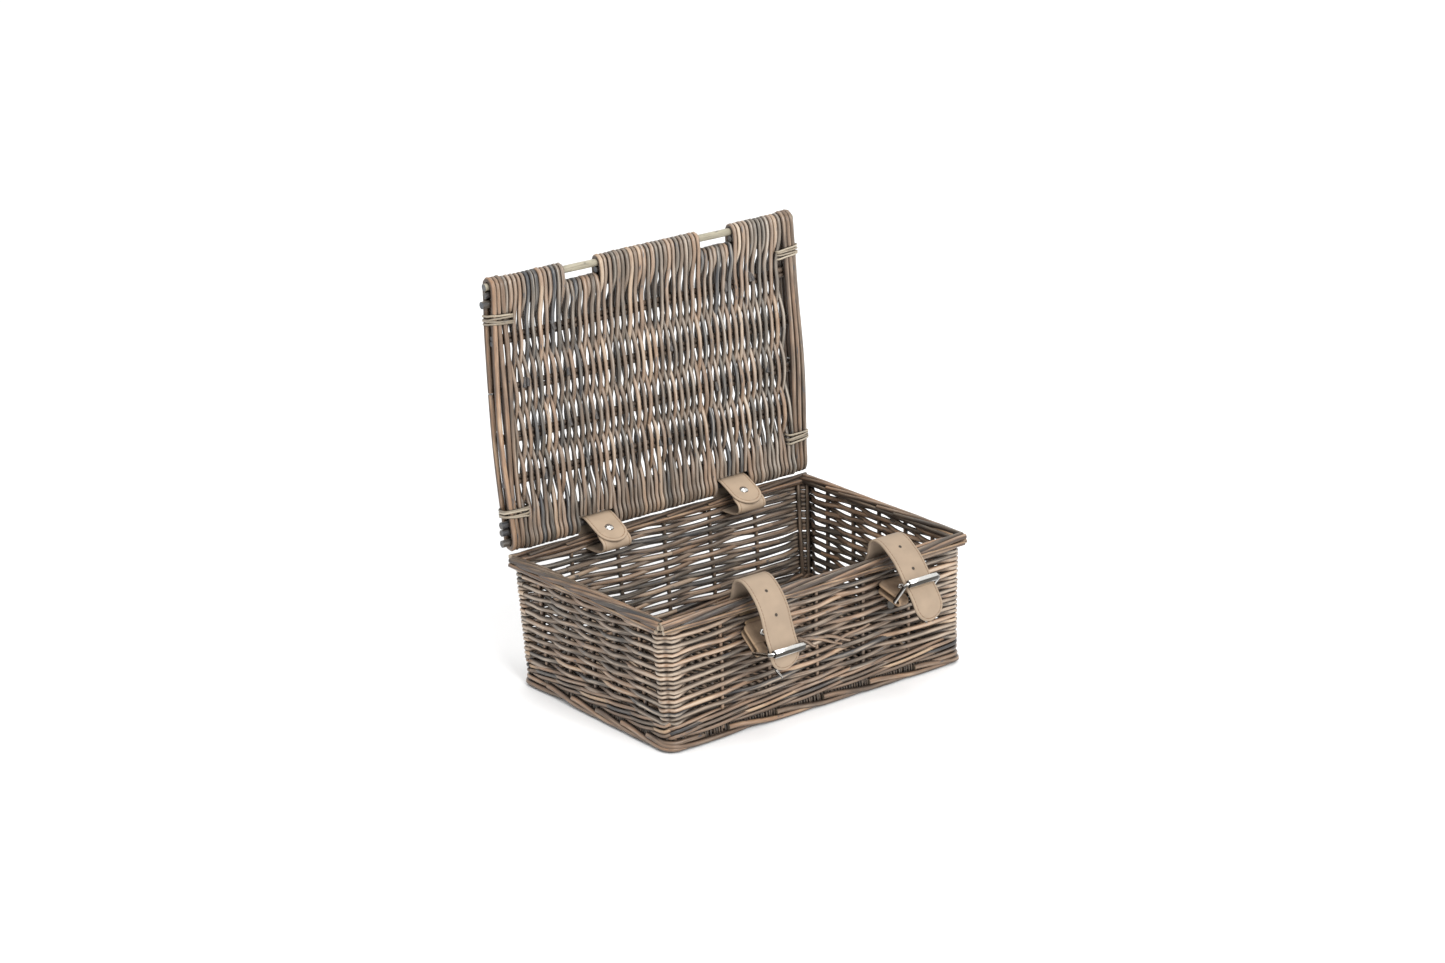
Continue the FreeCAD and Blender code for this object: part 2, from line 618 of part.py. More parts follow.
def build_chape(side):
    """The doubled leather that holds a buckle's bar, looped through the front wall."""
    body = document.addObject("PartDesign::Body", "Chape" + side)
    sketch = new_sketch(body, "YZ_Plane")
    length = 25 / math.cos(math.radians(CHAPE_RISE[side]))
    if side == "right":
        length = 31.2 / math.cos(math.radians(CHAPE_RISE[side]))
    for radius in ("chape_inner_radius + chape_thickness", "chape_inner_radius"):
        steps = 10
        turned = [math.pi * k / steps for k in range(steps + 1)]
        outline = [(f"-({radius}) * {math.sin(a):.5f}", f"({radius}) * {math.cos(a):.5f}") for a in turned]
        outline += [(f"{length:.3f} + ({radius}) * {math.sin(a):.5f}", f"-({radius}) * {math.cos(a):.5f}")
                    for a in turned]
        add_polygon(sketch, outline)
    pad = body.newObject("PartDesign::Pad", "ChapePad" + side)
    pad.Profile = sketch
    pad.SideType = "Symmetric"
    pad.setExpression("Length", cell("leather_width"))
    sketch.Visibility = False
    # the tongue works through a slot in the fold, and a rivet closes the two layers
    tongue_slot = block("TongueSlot" + side, Vector(-4, -6, -6), Vector(4, 4, 6))
    eyelet_place = Vector(0, CHAPE_RIVET, 0)
    eyelet = round_bar("EyeletHole" + side, "shank_radius + shank_fit", "12", eyelet_place, Z_AXIS)
    cut = cut_from("ChapeCut" + side, body, [tongue_slot, eyelet], f"chape_{side}")
    turn = Rotation(X_AXIS, CHAPE_RISE[side])
    cut.Placement = Placement(BUCKLE_BAR[side], turn)
    middle = cut.Placement.multVec(eyelet_place)
    reach = 2 * (SIZE["chape_inner_radius"] + SIZE["chape_thickness"]) + 0.1
    label = f"chape_rivet_{side}"
    rivet("ChapeRivet" + side, middle, turn.multVec(Z_AXIS), reach, label, bore=True)


CHAPE_RIVET = 10.5


# --- buckles, drawn with the bar along X at the origin and the arms along -Y -----------------------

def build_frame(side):
    """One bent wire: the bar, two arms and the roller's axle, joined by round corners."""
    half, reach = SIZE["arm_offset"], SIZE["arm_length"]
    turn, wire = SIZE["frame_corner_radius"], "wire_radius"
    pieces = []
    for k, y in enumerate((0, -reach)):
        pieces.append(round_bar(f"Rail{side}{k}", wire, f"2 * (arm_offset - frame_corner_radius)",
                                Vector(0, y, 0), X_AXIS))
    for k, x in enumerate((-half, half)):
        pieces.append(round_bar(f"Arm{side}{k}", wire, "arm_length - 2 * frame_corner_radius",
                                Vector(x, -reach / 2, 0), Y_AXIS))
    corners = [(half, 0, 0), (-half, 0, 90), (-half, -reach, 180), (half, -reach, 270)]
    for k, (x, y, start) in enumerate(corners):
        bend = document.addObject("Part::Torus", f"Bend{side}{k}")
        bend.setExpression("Radius1", cell("frame_corner_radius"))
        bend.setExpression("Radius2", cell(wire))
        bend.Angle3 = 90
        centre = Vector(x - math.copysign(turn, x), y - turn if y == 0 else y + turn, 0)
        bend.Placement = Placement(centre, Rotation(Z_AXIS, start))
        pieces.append(bend)
    frame = joined("BuckleFrame" + side, pieces, f"buckle_frame_{side}")
    frame.Placement = buckle_place(side)


def buckle_place(side):
    return Placement(BUCKLE_BAR[side], Rotation(X_AXIS, -ARM_RISE[side]))


def build_roller(side):
    outer = round_bar("RollerOuter" + side, "roller_radius", "roller_length", Vector(), X_AXIS)
    bore = round_bar("RollerBore" + side, "roller_bore_radius", "roller_length + 2", Vector(), X_AXIS)
    roller = cut_from("Roller" + side, outer, [bore], f"buckle_roller_{side}")
    axle = Placement(Vector(0, -SIZE["arm_length"], 0), Rotation())
    roller.Placement = buckle_place(side).multiply(axle)


def build_tongue(side):
    """A wire tongue hanging from its ring on the bar, with its tip bent outwards."""
    radius, straight = SIZE["tongue_radius"], SIZE["tongue_length"]
    ring_inner, ring_outer = SIZE["wire_radius"] + 0.35, SIZE["wire_radius"] + 0.35 + 1.5
    half_width = 1.4
    ring = Part.makeCylinder(ring_outer, 2 * half_width, Vector(-half_width, 0, 0), X_AXIS)
    ring = ring.cut(Part.makeCylinder(ring_inner, 4 * half_width, Vector(-2 * half_width, 0, 0), X_AXIS))
    down = Vector(0, -1, 0)
    start = (ring_inner + ring_outer) / 2
    shank = Part.makeCylinder(radius, straight - start, down * start, down)
    knee = down * straight
    bend = math.radians(SIZE["tongue_bend"])
    along = Vector(0, -math.cos(bend), math.sin(bend))
    tip_length = SIZE["tongue_tip_length"]
    tip = Part.makeCone(radius, 0.6 * radius, tip_length, knee, along)
    point = Part.makeSphere(0.6 * radius, knee + along * tip_length)
    tongue = document.addObject("Part::Feature", "Tongue" + side)
    tongue.Shape = ring.multiFuse([shank, Part.makeSphere(radius, knee), tip, point]).removeSplitter()
    tongue.Placement = Placement(BUCKLE_BAR[side], Rotation(X_AXIS, TONGUE_DROP[side]))
    keep(tongue, f"buckle_tongue_{side}")


# --- the whole hamper -----------------------------------------------------------------------------

build_base()
for wall in WALLS:
    build_wall(wall)
posts = []
for end, sign_y in (("front", -1), ("back", 1)):
    for side, sign_x in SIDES.items():
        posts += build_corner(end, sign_y, side, sign_x)
grouped("CornerStakes", posts, "corner_stakes")
build_lid()
for side in SIDES:
    build_leather(side)
    build_frame(side)
    build_roller(side)
    build_tongue(side)
document.recompute()

failed = [item.Label for item in document.Objects if "Invalid" in item.State or "Error" in item.State]
for part in PARTS:
    if part.Shape.isNull() or not part.Shape.isValid():
        failed.append(part.Label)
if failed:
    raise RuntimeError(f"these objects failed: {failed}")

os.makedirs("parts", exist_ok=True)
for part in PARTS:
    part.Shape.exportStep(f"parts/{part.Label}.step")
print(len(PARTS), "parts written")
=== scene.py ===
import json
from math import cos, hypot, pi, radians, sin, sqrt

import bpy
import numpy as np
from mathutils import Matrix, Vector


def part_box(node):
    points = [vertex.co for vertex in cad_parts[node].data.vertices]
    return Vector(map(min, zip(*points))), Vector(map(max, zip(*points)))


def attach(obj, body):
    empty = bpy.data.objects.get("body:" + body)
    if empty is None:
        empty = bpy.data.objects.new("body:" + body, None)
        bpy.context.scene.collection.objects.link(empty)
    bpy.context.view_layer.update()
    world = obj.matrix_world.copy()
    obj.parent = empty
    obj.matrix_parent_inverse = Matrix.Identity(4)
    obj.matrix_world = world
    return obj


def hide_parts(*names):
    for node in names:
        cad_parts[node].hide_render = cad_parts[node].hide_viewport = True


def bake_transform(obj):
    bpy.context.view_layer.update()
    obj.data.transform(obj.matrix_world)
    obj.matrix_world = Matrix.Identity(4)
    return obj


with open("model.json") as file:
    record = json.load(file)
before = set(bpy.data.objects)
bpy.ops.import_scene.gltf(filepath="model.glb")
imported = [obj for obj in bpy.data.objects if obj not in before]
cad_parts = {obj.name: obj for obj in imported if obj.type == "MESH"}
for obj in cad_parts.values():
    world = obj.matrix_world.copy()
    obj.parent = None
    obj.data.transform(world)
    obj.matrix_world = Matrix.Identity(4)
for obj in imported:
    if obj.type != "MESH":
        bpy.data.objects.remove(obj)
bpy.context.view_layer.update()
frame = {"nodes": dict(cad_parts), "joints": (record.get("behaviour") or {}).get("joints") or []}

# A small willow hamper with its lid open. Lengths here are in millimetres, and MM turns them into metres.
# X runs along the long front, +Y to the hinged back, +Z up, and the origin is under the base's centre.

MM = 0.001
SIDES = {"left": -1, "right": 1}
WALLS = ("left", "front", "right", "back")
rng = np.random.default_rng(17)


def cad_box(node):
    """The low and high corner of a CAD node's box."""
    low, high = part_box(node)
    return np.array(low) / MM, np.array(high) / MM


def joint_place(name):
    """Where a joint's axis sits."""
    joint = next(item for item in frame["joints"] if item["name"] == name)
    return np.array(joint["pos_m"]) / MM


# --- driving dimensions, read from the frame

RIM_LOW, RIM_HIGH = cad_box("front_border")
RIM_X, RIM_Y, RIM_TOP = RIM_HIGH[0], -RIM_LOW[1], RIM_HIGH[2]
BORDER_BOTTOM, BORDER_WIDTH = RIM_LOW[2], RIM_HIGH[1] - RIM_LOW[1]
FOOT_TOP = cad_box("front_foot_border")[1][2]
WALE_TOP = cad_box("front_wale")[1][2]
WALL_END_X = cad_box("front_siding")[1][0]
WALL_END_Y = cad_box("left_siding")[1][1]
WALL_THICKNESS = 7.5
BORDER_OVERHANG = 2.0
FOOT_INSET = 4.0
CORNER_RADIUS = 11.5
MIDDLE_HEIGHT = RIM_TOP / 2
FLARE = FOOT_INSET / RIM_TOP

# the walls' weave: rows of weavers, how far each climbs in one round, and how it swings about the stakes
WEAVER_ROWS = 22
ROWS_CLIMBED = 6
WEAVER_OUT = 2.0
WEAVER_LENS = 0.5
STAKE_RADIUS = 1.6
LONG_STAKES, SHORT_STAKES = np.arange(-80, 81, 40.0), np.arange(-60, 61, 30.0)
STAKE_PLACES = {wall: SHORT_STAKES if wall in SIDES else LONG_STAKES for wall in WALLS}

HINGE = joint_place("lid_hinge")
LID_LEAN = radians(1.76)
LID_PANEL_X = cad_box("lid_weave")[1][0]
LID_WEAVERS = 88
# distances from the hinge rod to the sticks and the pairs of ribs
REAR_STICKS = (0.0, 7.5, 13.0)
RIBS = (43.0, 73.5, 108.0, 144.0)
RIB_PITCH = 3.7
EDGE_STICKS = (170.6, 177.0, 182.5)
# places along X: the slots in the lid's front edge, the front straps' middles and the hinge loops' middles
SLOTS = {"left": (-69.5, -39.7), "right": (46.0, 75.8)}
FRONT_X = {"left": -54.0, "right": 61.5}
LOOP_X = {"left": -55.5, "right": 62.0}


# --- strands: round rods swept along lines

def unit(rows):
    return rows / np.maximum(np.linalg.norm(rows, axis=1, keepdims=True), 1e-9)


def lengths_along(line):
    """How far each point of a line is from its first, measured along it."""
    return np.concatenate([[0], np.cumsum(np.linalg.norm(np.diff(line, axis=0), axis=1))])


def ease(t):
    """From 0 to 1, slow at both ends."""
    return t * t * (3 - 2 * t)


def running_mean(values, width):
    """Each value averaged with its neighbours, the ends held."""
    return np.convolve(np.pad(values, width // 2, mode="edge"), np.ones(width) / width, mode="valid")


def waves(s, size, lengths):
    """A gentle random wander along s."""
    total = np.zeros_like(s, dtype=float)
    for length in lengths:
        total += np.sin(2 * pi * s / length + rng.uniform(0, 2 * pi))
    return size * total / len(lengths)


def smooth_line(points, spacing=2.0):
    """A smooth curve through a few points, sampled evenly."""
    points = np.array(points, float)
    chord = lengths_along(points)
    fine = np.linspace(0, chord[-1], max(4, int(chord[-1] / spacing) + 1))
    slope = np.gradient(points, chord, axis=0)
    k = np.clip(np.searchsorted(chord, fine, side="right") - 1, 0, len(chord) - 2)
    gap = (chord[k + 1] - chord[k])[:, None]
    t = ((fine - chord[k])[:, None]) / gap
    a, b = points[k], points[k + 1]
    ma, mb = slope[k] * gap, slope[k + 1] * gap
    return (a * (2 * t ** 3 - 3 * t ** 2 + 1) + ma * (t ** 3 - 2 * t ** 2 + t)
            + b * (3 * t ** 2 - 2 * t ** 3) + mb * (t ** 3 - t ** 2))


def random_tone():
    """A rod's colour, from dark grey-brown at 0 to pale tan at 1, mostly in the middle."""
    if rng.uniform() < 0.05:
        return float(rng.uniform(0.0, 0.15))
    return float(np.clip(rng.normal(0.55, 0.21), 0.18, 1.0))


def sweep(line, across, up, normal, sides=10):
    """Rings round a line: across is the half width along normal, up the half width square to it."""
    tangent = unit(np.gradient(line, axis=0))
    normal = unit(normal - (normal * tangent).sum(1)[:, None] * tangent)
    side = np.cross(tangent, normal)
    across = np.broadcast_to(across, len(line))[:, None, None]
    up = np.broadcast_to(up, len(line))[:, None, None]
    turn = np.arange(sides) * 2 * pi / sides
    c, s = np.cos(turn)[None, :, None], np.sin(turn)[None, :, None]
    return line[:, None, :] + across * c * normal[:, None, :] + up * s * side[:, None, :]


def tube_faces(rows, m, first=0):
    """Faces between neighbouring rings of m points each."""
    row = first + np.arange(rows - 1)[:, None] * m
    i, j = row + np.arange(m), row + (np.arange(m) + 1) % m
    return np.stack([i, j, j + m, i + m], axis=2).reshape(-1, 4)


def add_attribute(mesh, name, values):
    """A number, or a vector of three, for each point of a mesh."""
    values = np.asarray(values, np.float32)
    kind, field = ("FLOAT", "value") if values.ndim == 1 else ("FLOAT_VECTOR", "vector")
    mesh.attributes.new(name, kind, "POINT").data.foreach_set(field, values.ravel())


def place_mesh(mesh, material, body=None, node=None):
    """Put a mesh in the scene, on a body of the part and in place of a CAD node where these are given."""
    mesh.polygons.foreach_set("use_smooth", [True] * len(mesh.polygons))
    mesh.materials.append(material)
    mesh.update()
    piece = bpy.data.objects.new(mesh.name, mesh)
    bpy.context.scene.collection.objects.link(piece)
    if body:
        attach(piece, body)
    if node:
        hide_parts(node)
    return piece


# a rod with a lower tone keeps its stained colour on its cut ends
STAINED_BELOW = 0.12


class Strands:
    """Collects swept rods into one mesh, with their grain coordinates, tones, cut ends and painted
    highlights.
    """

    def __init__(self, sides=10):
        self.sides = sides
        self.count = 0
        self.points, self.faces = [], []
        self.values = {"grain": [], "tone": [], "cut": [], "wear": []}

    def add(self, points, faces, **values):
        self.points.append(points)
        self.faces.append(faces)
        self.count += len(points)
        for name, value in values.items():
            self.values[name].append(value)

    def store(self, rings, tone, along, seed, ends=(True, True), facing=0.0, wear=0.0):
        """Add a rod from its rings. Its grain starts at seed and is turned round it by facing."""
        n, m = rings.shape[:2]
        turn = np.arange(m) * 2 * pi / m + facing
        grain = np.zeros((n, m, 3))
        grain[:, :, 0] = along[:, None] * 0.1 + seed
        grain[:, :, 1] = np.cos(turn)
        grain[:, :, 2] = np.sin(turn)
        self.add(rings.reshape(-1, 3), tube_faces(n, m, self.count), grain=grain.reshape(-1, 3),
                 tone=np.full(n * m, tone), cut=np.zeros(n * m), wear=np.repeat(np.broadcast_to(wear, n), m))
        for closed, at in zip(ends, (0, n - 1)):
            if closed:
                self.cap(rings[at], tone, grain[at], at == 0)

    def cap(self, ring, tone, grain, at_start):
        """A cut end: its rim again, and a middle point. The darkest rods keep their stained colour there."""
        m = self.sides
        rim, following = self.count + np.arange(m), self.count + (np.arange(m) + 1) % m
        pair = (following, rim) if at_start else (rim, following)
        centre = np.full(m, self.count + m)
        self.add(np.vstack([ring, ring.mean(axis=0)]), np.stack([*pair, centre, centre], axis=1),
                 grain=np.vstack([grain, grain.mean(axis=0)]), tone=np.full(m + 1, tone),
                 cut=np.full(m + 1, float(tone > STAINED_BELOW)), wear=np.zeros(m + 1))

    def rod(self, line, radius, tone=None, normal=(0, 0, 1), up=None, ends=(True, True), facing=0.0):
        normal = np.broadcast_to(np.asarray(normal, float), line.shape)
        rings = sweep(line, radius, radius if up is None else up, normal, self.sides)
        tone = random_tone() if tone is None else tone
        self.store(rings, tone, lengths_along(line), rng.uniform(0, 900), ends, facing)

    def finish(self, node, material, body, kind="willow"):
        """Make the mesh, in place of a CAD node."""
        mesh = bpy.data.meshes.new(f"{node}_{kind}")
        faces = [tuple(f[:3]) if f[2] == f[3] else tuple(f) for f in np.concatenate(self.faces).tolist()]
        mesh.from_pydata((np.concatenate(self.points) * MM).tolist(), [], faces)
        for name, values in self.values.items():
            add_attribute(mesh, name, np.concatenate(values))
        place_mesh(mesh, material, body, node)


# --- materials

class Nodes:
    """A short way to write a node material."""

    def __init__(self, name):
        self.material = bpy.data.materials.new(name)
        self.material.use_nodes = True
        self.tree = self.material.node_tree

    def link(self, value, socket):
        if isinstance(value, bpy.types.NodeSocket):
            self.tree.links.new(value, socket)
        elif isinstance(value, tuple) and socket.type == "RGBA":
            socket.default_value = (*value, 1)
        else:
            socket.default_value = value

    def set(self, **values):
        shader = self.tree.nodes["Principled BSDF"]
        for name, value in values.items():
            self.link(value, shader.inputs[name.replace("_", " ")])

    def add(self, kind, inputs=(), **settings):
        """A new node with its settings, its inputs linked or filled, giving its outputs."""
        node = self.tree.nodes.new(f"ShaderNode{kind}")
        for name, value in settings.items():
            setattr(node, name, value)
        for name, value in dict(inputs).items():
            self.link(value, node.inputs[name])
        return node.outputs

    def attribute(self, name, output="Fac"):
        return self.add("Attribute", attribute_name=name)[output]

    def place(self):
        return self.add("TexCoord")["Object"]

    def math(self, operation, a, b=0.0, clamp=False):
        return self.add("Math", {0: a, 1: b}, operation=operation, use_clamp=clamp)[0]

    def plus(self, a, b, clamp=False):
        return self.math("ADD", a, b, clamp)

    def minus(self, a, b):
        return self.math("SUBTRACT", a, b)

    def times(self, a, b):
        return self.math("MULTIPLY", a, b)

    def scaled(self, vector, scale):
        return self.add("VectorMath", {0: vector, 1: scale}, operation="MULTIPLY")[0]

    def split(self, vector):
        return self.add("SeparateXYZ", {0: vector})

    def noise(self, vector, scale=1.0, detail=2.0, roughness=0.5):
        inputs = {"Vector": vector, "Scale": scale, "Detail": detail, "Roughness": roughness}
        return self.add("TexNoise", inputs)["Fac"]

    def step(self, value, low, high, start=0.0, end=1.0):
        inputs = {"Value": value, "From Min": low, "From Max": high, "To Min": start, "To Max": end}
        return self.add("MapRange", inputs, interpolation_type="SMOOTHSTEP")["Result"]

    def ramp(self, value, stops):
        node = self.tree.nodes.new("ShaderNodeValToRGB")
        self.link(value, node.inputs[0])
        elements = node.color_ramp.elements
        while len(elements) < len(stops):
            elements.new(0.5)
        for element, (position, colour) in zip(elements, stops):
            element.position, element.color = position, (*colour, 1)
        return node.outputs[0]

    def mix(self, factor, a, b):
        return self.add("Mix", {0: factor, 6: a, 7: b}, data_type="RGBA")[2]

    def openness(self, distance):
        """How open a place is, from 0 deep between rods to 1 on their outside."""
        return self.add("AmbientOcclusion", {"Distance": distance}, samples=6)["AO"]

    def bump(self, height, strength, distance):
        return self.add("Bump", {"Height": height, "Strength": strength, "Distance": distance})["Normal"]


def shade(colour, factor):
    return tuple(c * factor for c in colour)


GREY_WASH = (0.40, 0.355, 0.30)
TAN_WASH = (0.38, 0.31, 0.24)
DARK_STREAK = (0.055, 0.04, 0.03)
KNOT = (0.045, 0.05, 0.06)
# painted shade colour for the sides of the rods
CREVICE_SHADE = (0.03, 0.02, 0.015)
SHADOW = (0.022, 0.016, 0.013)
PALE_END = (0.42, 0.34, 0.25)
DARK_END = (0.05, 0.06, 0.075)


def willow_material(name, stops, wash, cut=PALE_END, crevice_shade=0.75, pale=GREY_WASH, deep=0.0):
    """Stained willow: a tone for each rod, a grey wash left in streaks, knots and cut ends, with painted
    shade in the crevices and deep between rods, and a painted highlight on the rods' crowns.
    """
    n = Nodes(name)
    grain = n.attribute("grain", "Vector")
    broad = n.minus(n.noise(n.scaled(grain, (0.5, 0.5, 0.5))), 0.5)
    colour = n.ramp(n.plus(n.attribute("tone"), n.times(broad, 0.8), clamp=True), stops)
    streak = n.noise(n.scaled(grain, (0.35, 2.4, 2.4)), 1.0, 4.0, 0.6)
    colour = n.mix(n.step(streak, 0.48, 0.72, 0.0, wash), colour, pale)
    dark = n.noise(n.scaled(grain, (0.8, 5.0, 5.0)), 1.0, 3.0, 0.6)
    colour = n.mix(n.step(dark, 0.5, 0.7, 0.0, 0.6), colour, DARK_STREAK)
    knot = n.noise(n.scaled(grain, (1.3, 0.8, 0.8)), 1.0, 1.0)
    colour = n.mix(n.step(knot, 0.68, 0.74, 0.0, 0.85), colour, KNOT)
    facing = n.math("ABSOLUTE", n.split(grain)[1])
    lit_facing = n.plus(facing, n.times(broad, 0.5))
    # painted shade: each rod's sides, where it meets its neighbours, are darkened towards a shade colour
    colour = n.mix(n.step(lit_facing, 0.15, 0.8, crevice_shade, 0.0), colour, CREVICE_SHADE)
    # painted highlight: the rods' crowns are lightened towards a pale colour, more along the wash streaks and
    # where a strand carries painted highlights
    highlight_amount = n.plus(n.step(streak, 0.4, 0.65, 0.0, 0.35), n.attribute("wear"))
    crown_highlight = n.times(n.step(lit_facing, 0.7, 1.05), highlight_amount)
    colour = n.mix(crown_highlight, colour, shade(pale, 1.42))
    colour = n.mix(n.times(n.attribute("cut"), 0.85), colour, cut)
    # painted shade: darker where rods crowd close together
    colour = n.mix(n.step(n.openness(0.007), 0.25, 0.85, 0.8, 0.0), colour, SHADOW)
    if deep:
        # painted shade: deep inside the basket the colour darkens further
        colour = n.mix(n.step(n.openness(0.05), 0.35, 0.95, deep, 0.0), colour, SHADOW)
    fine = n.noise(n.scaled(grain, (1.2, 7.0, 7.0)), 1.0, 3.0, 0.65)
    n.set(Base_Color=colour, Roughness=n.step(streak, 0.3, 0.7, 0.42, 0.27),
          Normal=n.bump(fine, 0.5, 0.0004), Specular_IOR_Level=0.5)
    return n.material


BROWN_STOPS = [(0.0, (0.038, 0.043, 0.050)), (0.2, (0.082, 0.070, 0.056)), (0.42, (0.140, 0.100, 0.071)),
               (0.66, (0.220, 0.148, 0.100)), (0.84, (0.285, 0.180, 0.114)), (1.0, (0.39, 0.28, 0.19))]
WARM_STOPS = [(0.0, (0.033, 0.034, 0.036)), (0.2, (0.066, 0.052, 0.038)), (0.42, (0.118, 0.078, 0.051)),
              (0.66, (0.200, 0.124, 0.077)), (0.84, (0.295, 0.172, 0.098)), (1.0, (0.43, 0.295, 0.18))]
SKEIN_STOPS = [(0.0, (0.16, 0.13, 0.09)), (0.5, (0.27, 0.22, 0.155)), (1.0, (0.40, 0.34, 0.25))]
BARE_STOPS = [(0.0, (0.20, 0.19, 0.14)), (0.5, (0.33, 0.30, 0.22)), (1.0, (0.46, 0.42, 0.31))]
# the last numbers set how much painted shade each willow gets on its rods' sides and deep inside the basket
WEAVERS = willow_material("woven_willow", BROWN_STOPS, 0.4, crevice_shade=0.9)
WALL_WEAVERS = willow_material("wall_willow", WARM_STOPS, 0.35, crevice_shade=0.85, pale=TAN_WASH, deep=0.35)
# painted shade: the back wall, seen from inside, gets a darker, greyer copy of the wall willow with more
# painted shade
SHADED_BACK_WEAVERS = willow_material("back_wall_willow_shaded", BROWN_STOPS, 0.35, crevice_shade=0.95, deep=0.5)
RODS = willow_material("willow_rods", WARM_STOPS, 0.3, crevice_shade=0.8, pale=TAN_WASH, deep=0.3)
STICKS = willow_material("willow_sticks", BROWN_STOPS, 0.2, DARK_END, 0.3)
SKEIN = willow_material("willow_skein", SKEIN_STOPS, 0.3)
BARE = willow_material("bare_willow", BARE_STOPS, 0.3, DARK_END, 0.2)

STITCH_INSET = 2.0
STITCH_PITCH = 2.6
BEIGE = (0.385, 0.29, 0.205)
# painted shade: the front straps, which face the key lamp, get a darker copy of the hinge leather's beige
SHADED_STRAP_BEIGE = (0.282, 0.212, 0.149)


def leather_material(name, colour, outer=1, holes=()):
    """Smooth leather: fine pores, stitches near the edge, punched holes, and a suede inner face."""
    n = Nodes(name)
    where = n.split(n.attribute("sheet", "Vector"))
    edge = n.attribute("edge")
    pores = n.noise(n.place(), 2600.0, 3.0, 0.6)
    cloud = n.noise(n.place(), 90.0)
    base = n.mix(n.step(cloud, 0.3, 0.7), shade(colour, 0.93), shade(colour, 1.05))
    line = n.step(n.math("ABSOLUTE", n.minus(edge, STITCH_INSET)), 0.18, 0.42, 1.0, 0.0)
    dash = n.step(n.math("SINE", n.times(where[0], 2 * pi / STITCH_PITCH)), -0.75, -0.35)
    stitch = n.times(line, dash)
    base = n.mix(n.times(line, 0.45), base, shade(colour, 0.6))
    base = n.mix(n.times(stitch, 0.85), base, (colour[0] * 0.62, colour[1] * 0.5, colour[2] * 0.4))
    base = n.mix(n.step(edge, -0.3, 0.25, 0.5, 0.0), base, shade(colour, 0.7))
    height = n.minus(n.times(pores, 0.12), n.times(line, 0.6))
    height = n.plus(height, n.times(stitch, 0.35))
    for place in holes:
        away = n.math("SQRT", n.plus(n.math("POWER", n.minus(where[0], place), 2.0),
                                     n.math("POWER", where[1], 2.0)))
        # painted shade: each punched hole is a dark spot, standing in for the shade inside it
        base = n.mix(n.step(away, 0.9, 1.35, 0.95, 0.0), base, (0.02, 0.014, 0.01))
        height = n.minus(height, n.step(away, 1.2, 1.9, 1.0, 0.0))
    inner = n.step(n.times(where[2], outer), -0.45, -0.25, 1.0, 0.0)
    base = n.mix(inner, base, (0.25, 0.19, 0.14))
    roughness = n.plus(n.step(cloud, 0.2, 0.8, 0.5, 0.62), n.times(inner, 0.3))
    n.set(Base_Color=base, Roughness=roughness, Normal=n.bump(height, 0.6, 0.0005), Specular_IOR_Level=0.35)
    return n.material


def suede_material(name):
    """The chape's rough face, grey-brown, with a paler cut edge."""
    n = Nodes(name)
    nap = n.noise(n.place(), 900.0, 4.0, 0.7)
    cloud = n.noise(n.place(), 120.0)
    face = n.mix(n.step(cloud, 0.3, 0.7), (0.215, 0.15, 0.10), (0.30, 0.215, 0.145))
    face = n.mix(n.step(nap, 0.5, 0.75, 0.0, 0.35), face, (0.33, 0.25, 0.18))
    colour = n.mix(n.step(n.attribute("edge"), 0.5, 1.1, 1.0, 0.0), face, (0.34, 0.235, 0.15))
    n.set(Base_Color=colour, Roughness=0.85, Normal=n.bump(nap, 0.5, 0.0003), Specular_IOR_Level=0.2)
    return n.material


def metal_material(name, colour, roughness):
    """Plated metal, with a painted dark reflection where it faces a little below level, as under a studio's
    light tent.
    """
    n = Nodes(name)
    wear = n.noise(n.place(), 500.0, 3.0, 0.6)
    tilt = n.split(n.add("TexCoord")["Normal"])[2]
    # painted reflection: a dark band where the surface faces a little below level
    reflection_band = n.times(n.step(tilt, -0.75, -0.35), n.step(tilt, 0.3, 0.6, 1.0, 0.0))
    plate = n.mix(n.step(wear, 0.4, 0.7), colour, shade(colour, 0.9))
    n.set(Base_Color=n.mix(n.times(reflection_band, 0.97), plate, (0.05, 0.045, 0.04)), Metallic=1.0,
          Roughness=n.step(wear, 0.3, 0.8, roughness, roughness + 0.08), Normal=n.bump(wear, 0.03, 0.0001))
    return n.material


NICKEL = metal_material("bright_nickel", (0.80, 0.79, 0.76), 0.14)
SUEDE = suede_material("chape_suede")
HINGE_LEATHER = leather_material("hinge_leather", BEIGE, -1)


# --- the wall's outline, seen from above

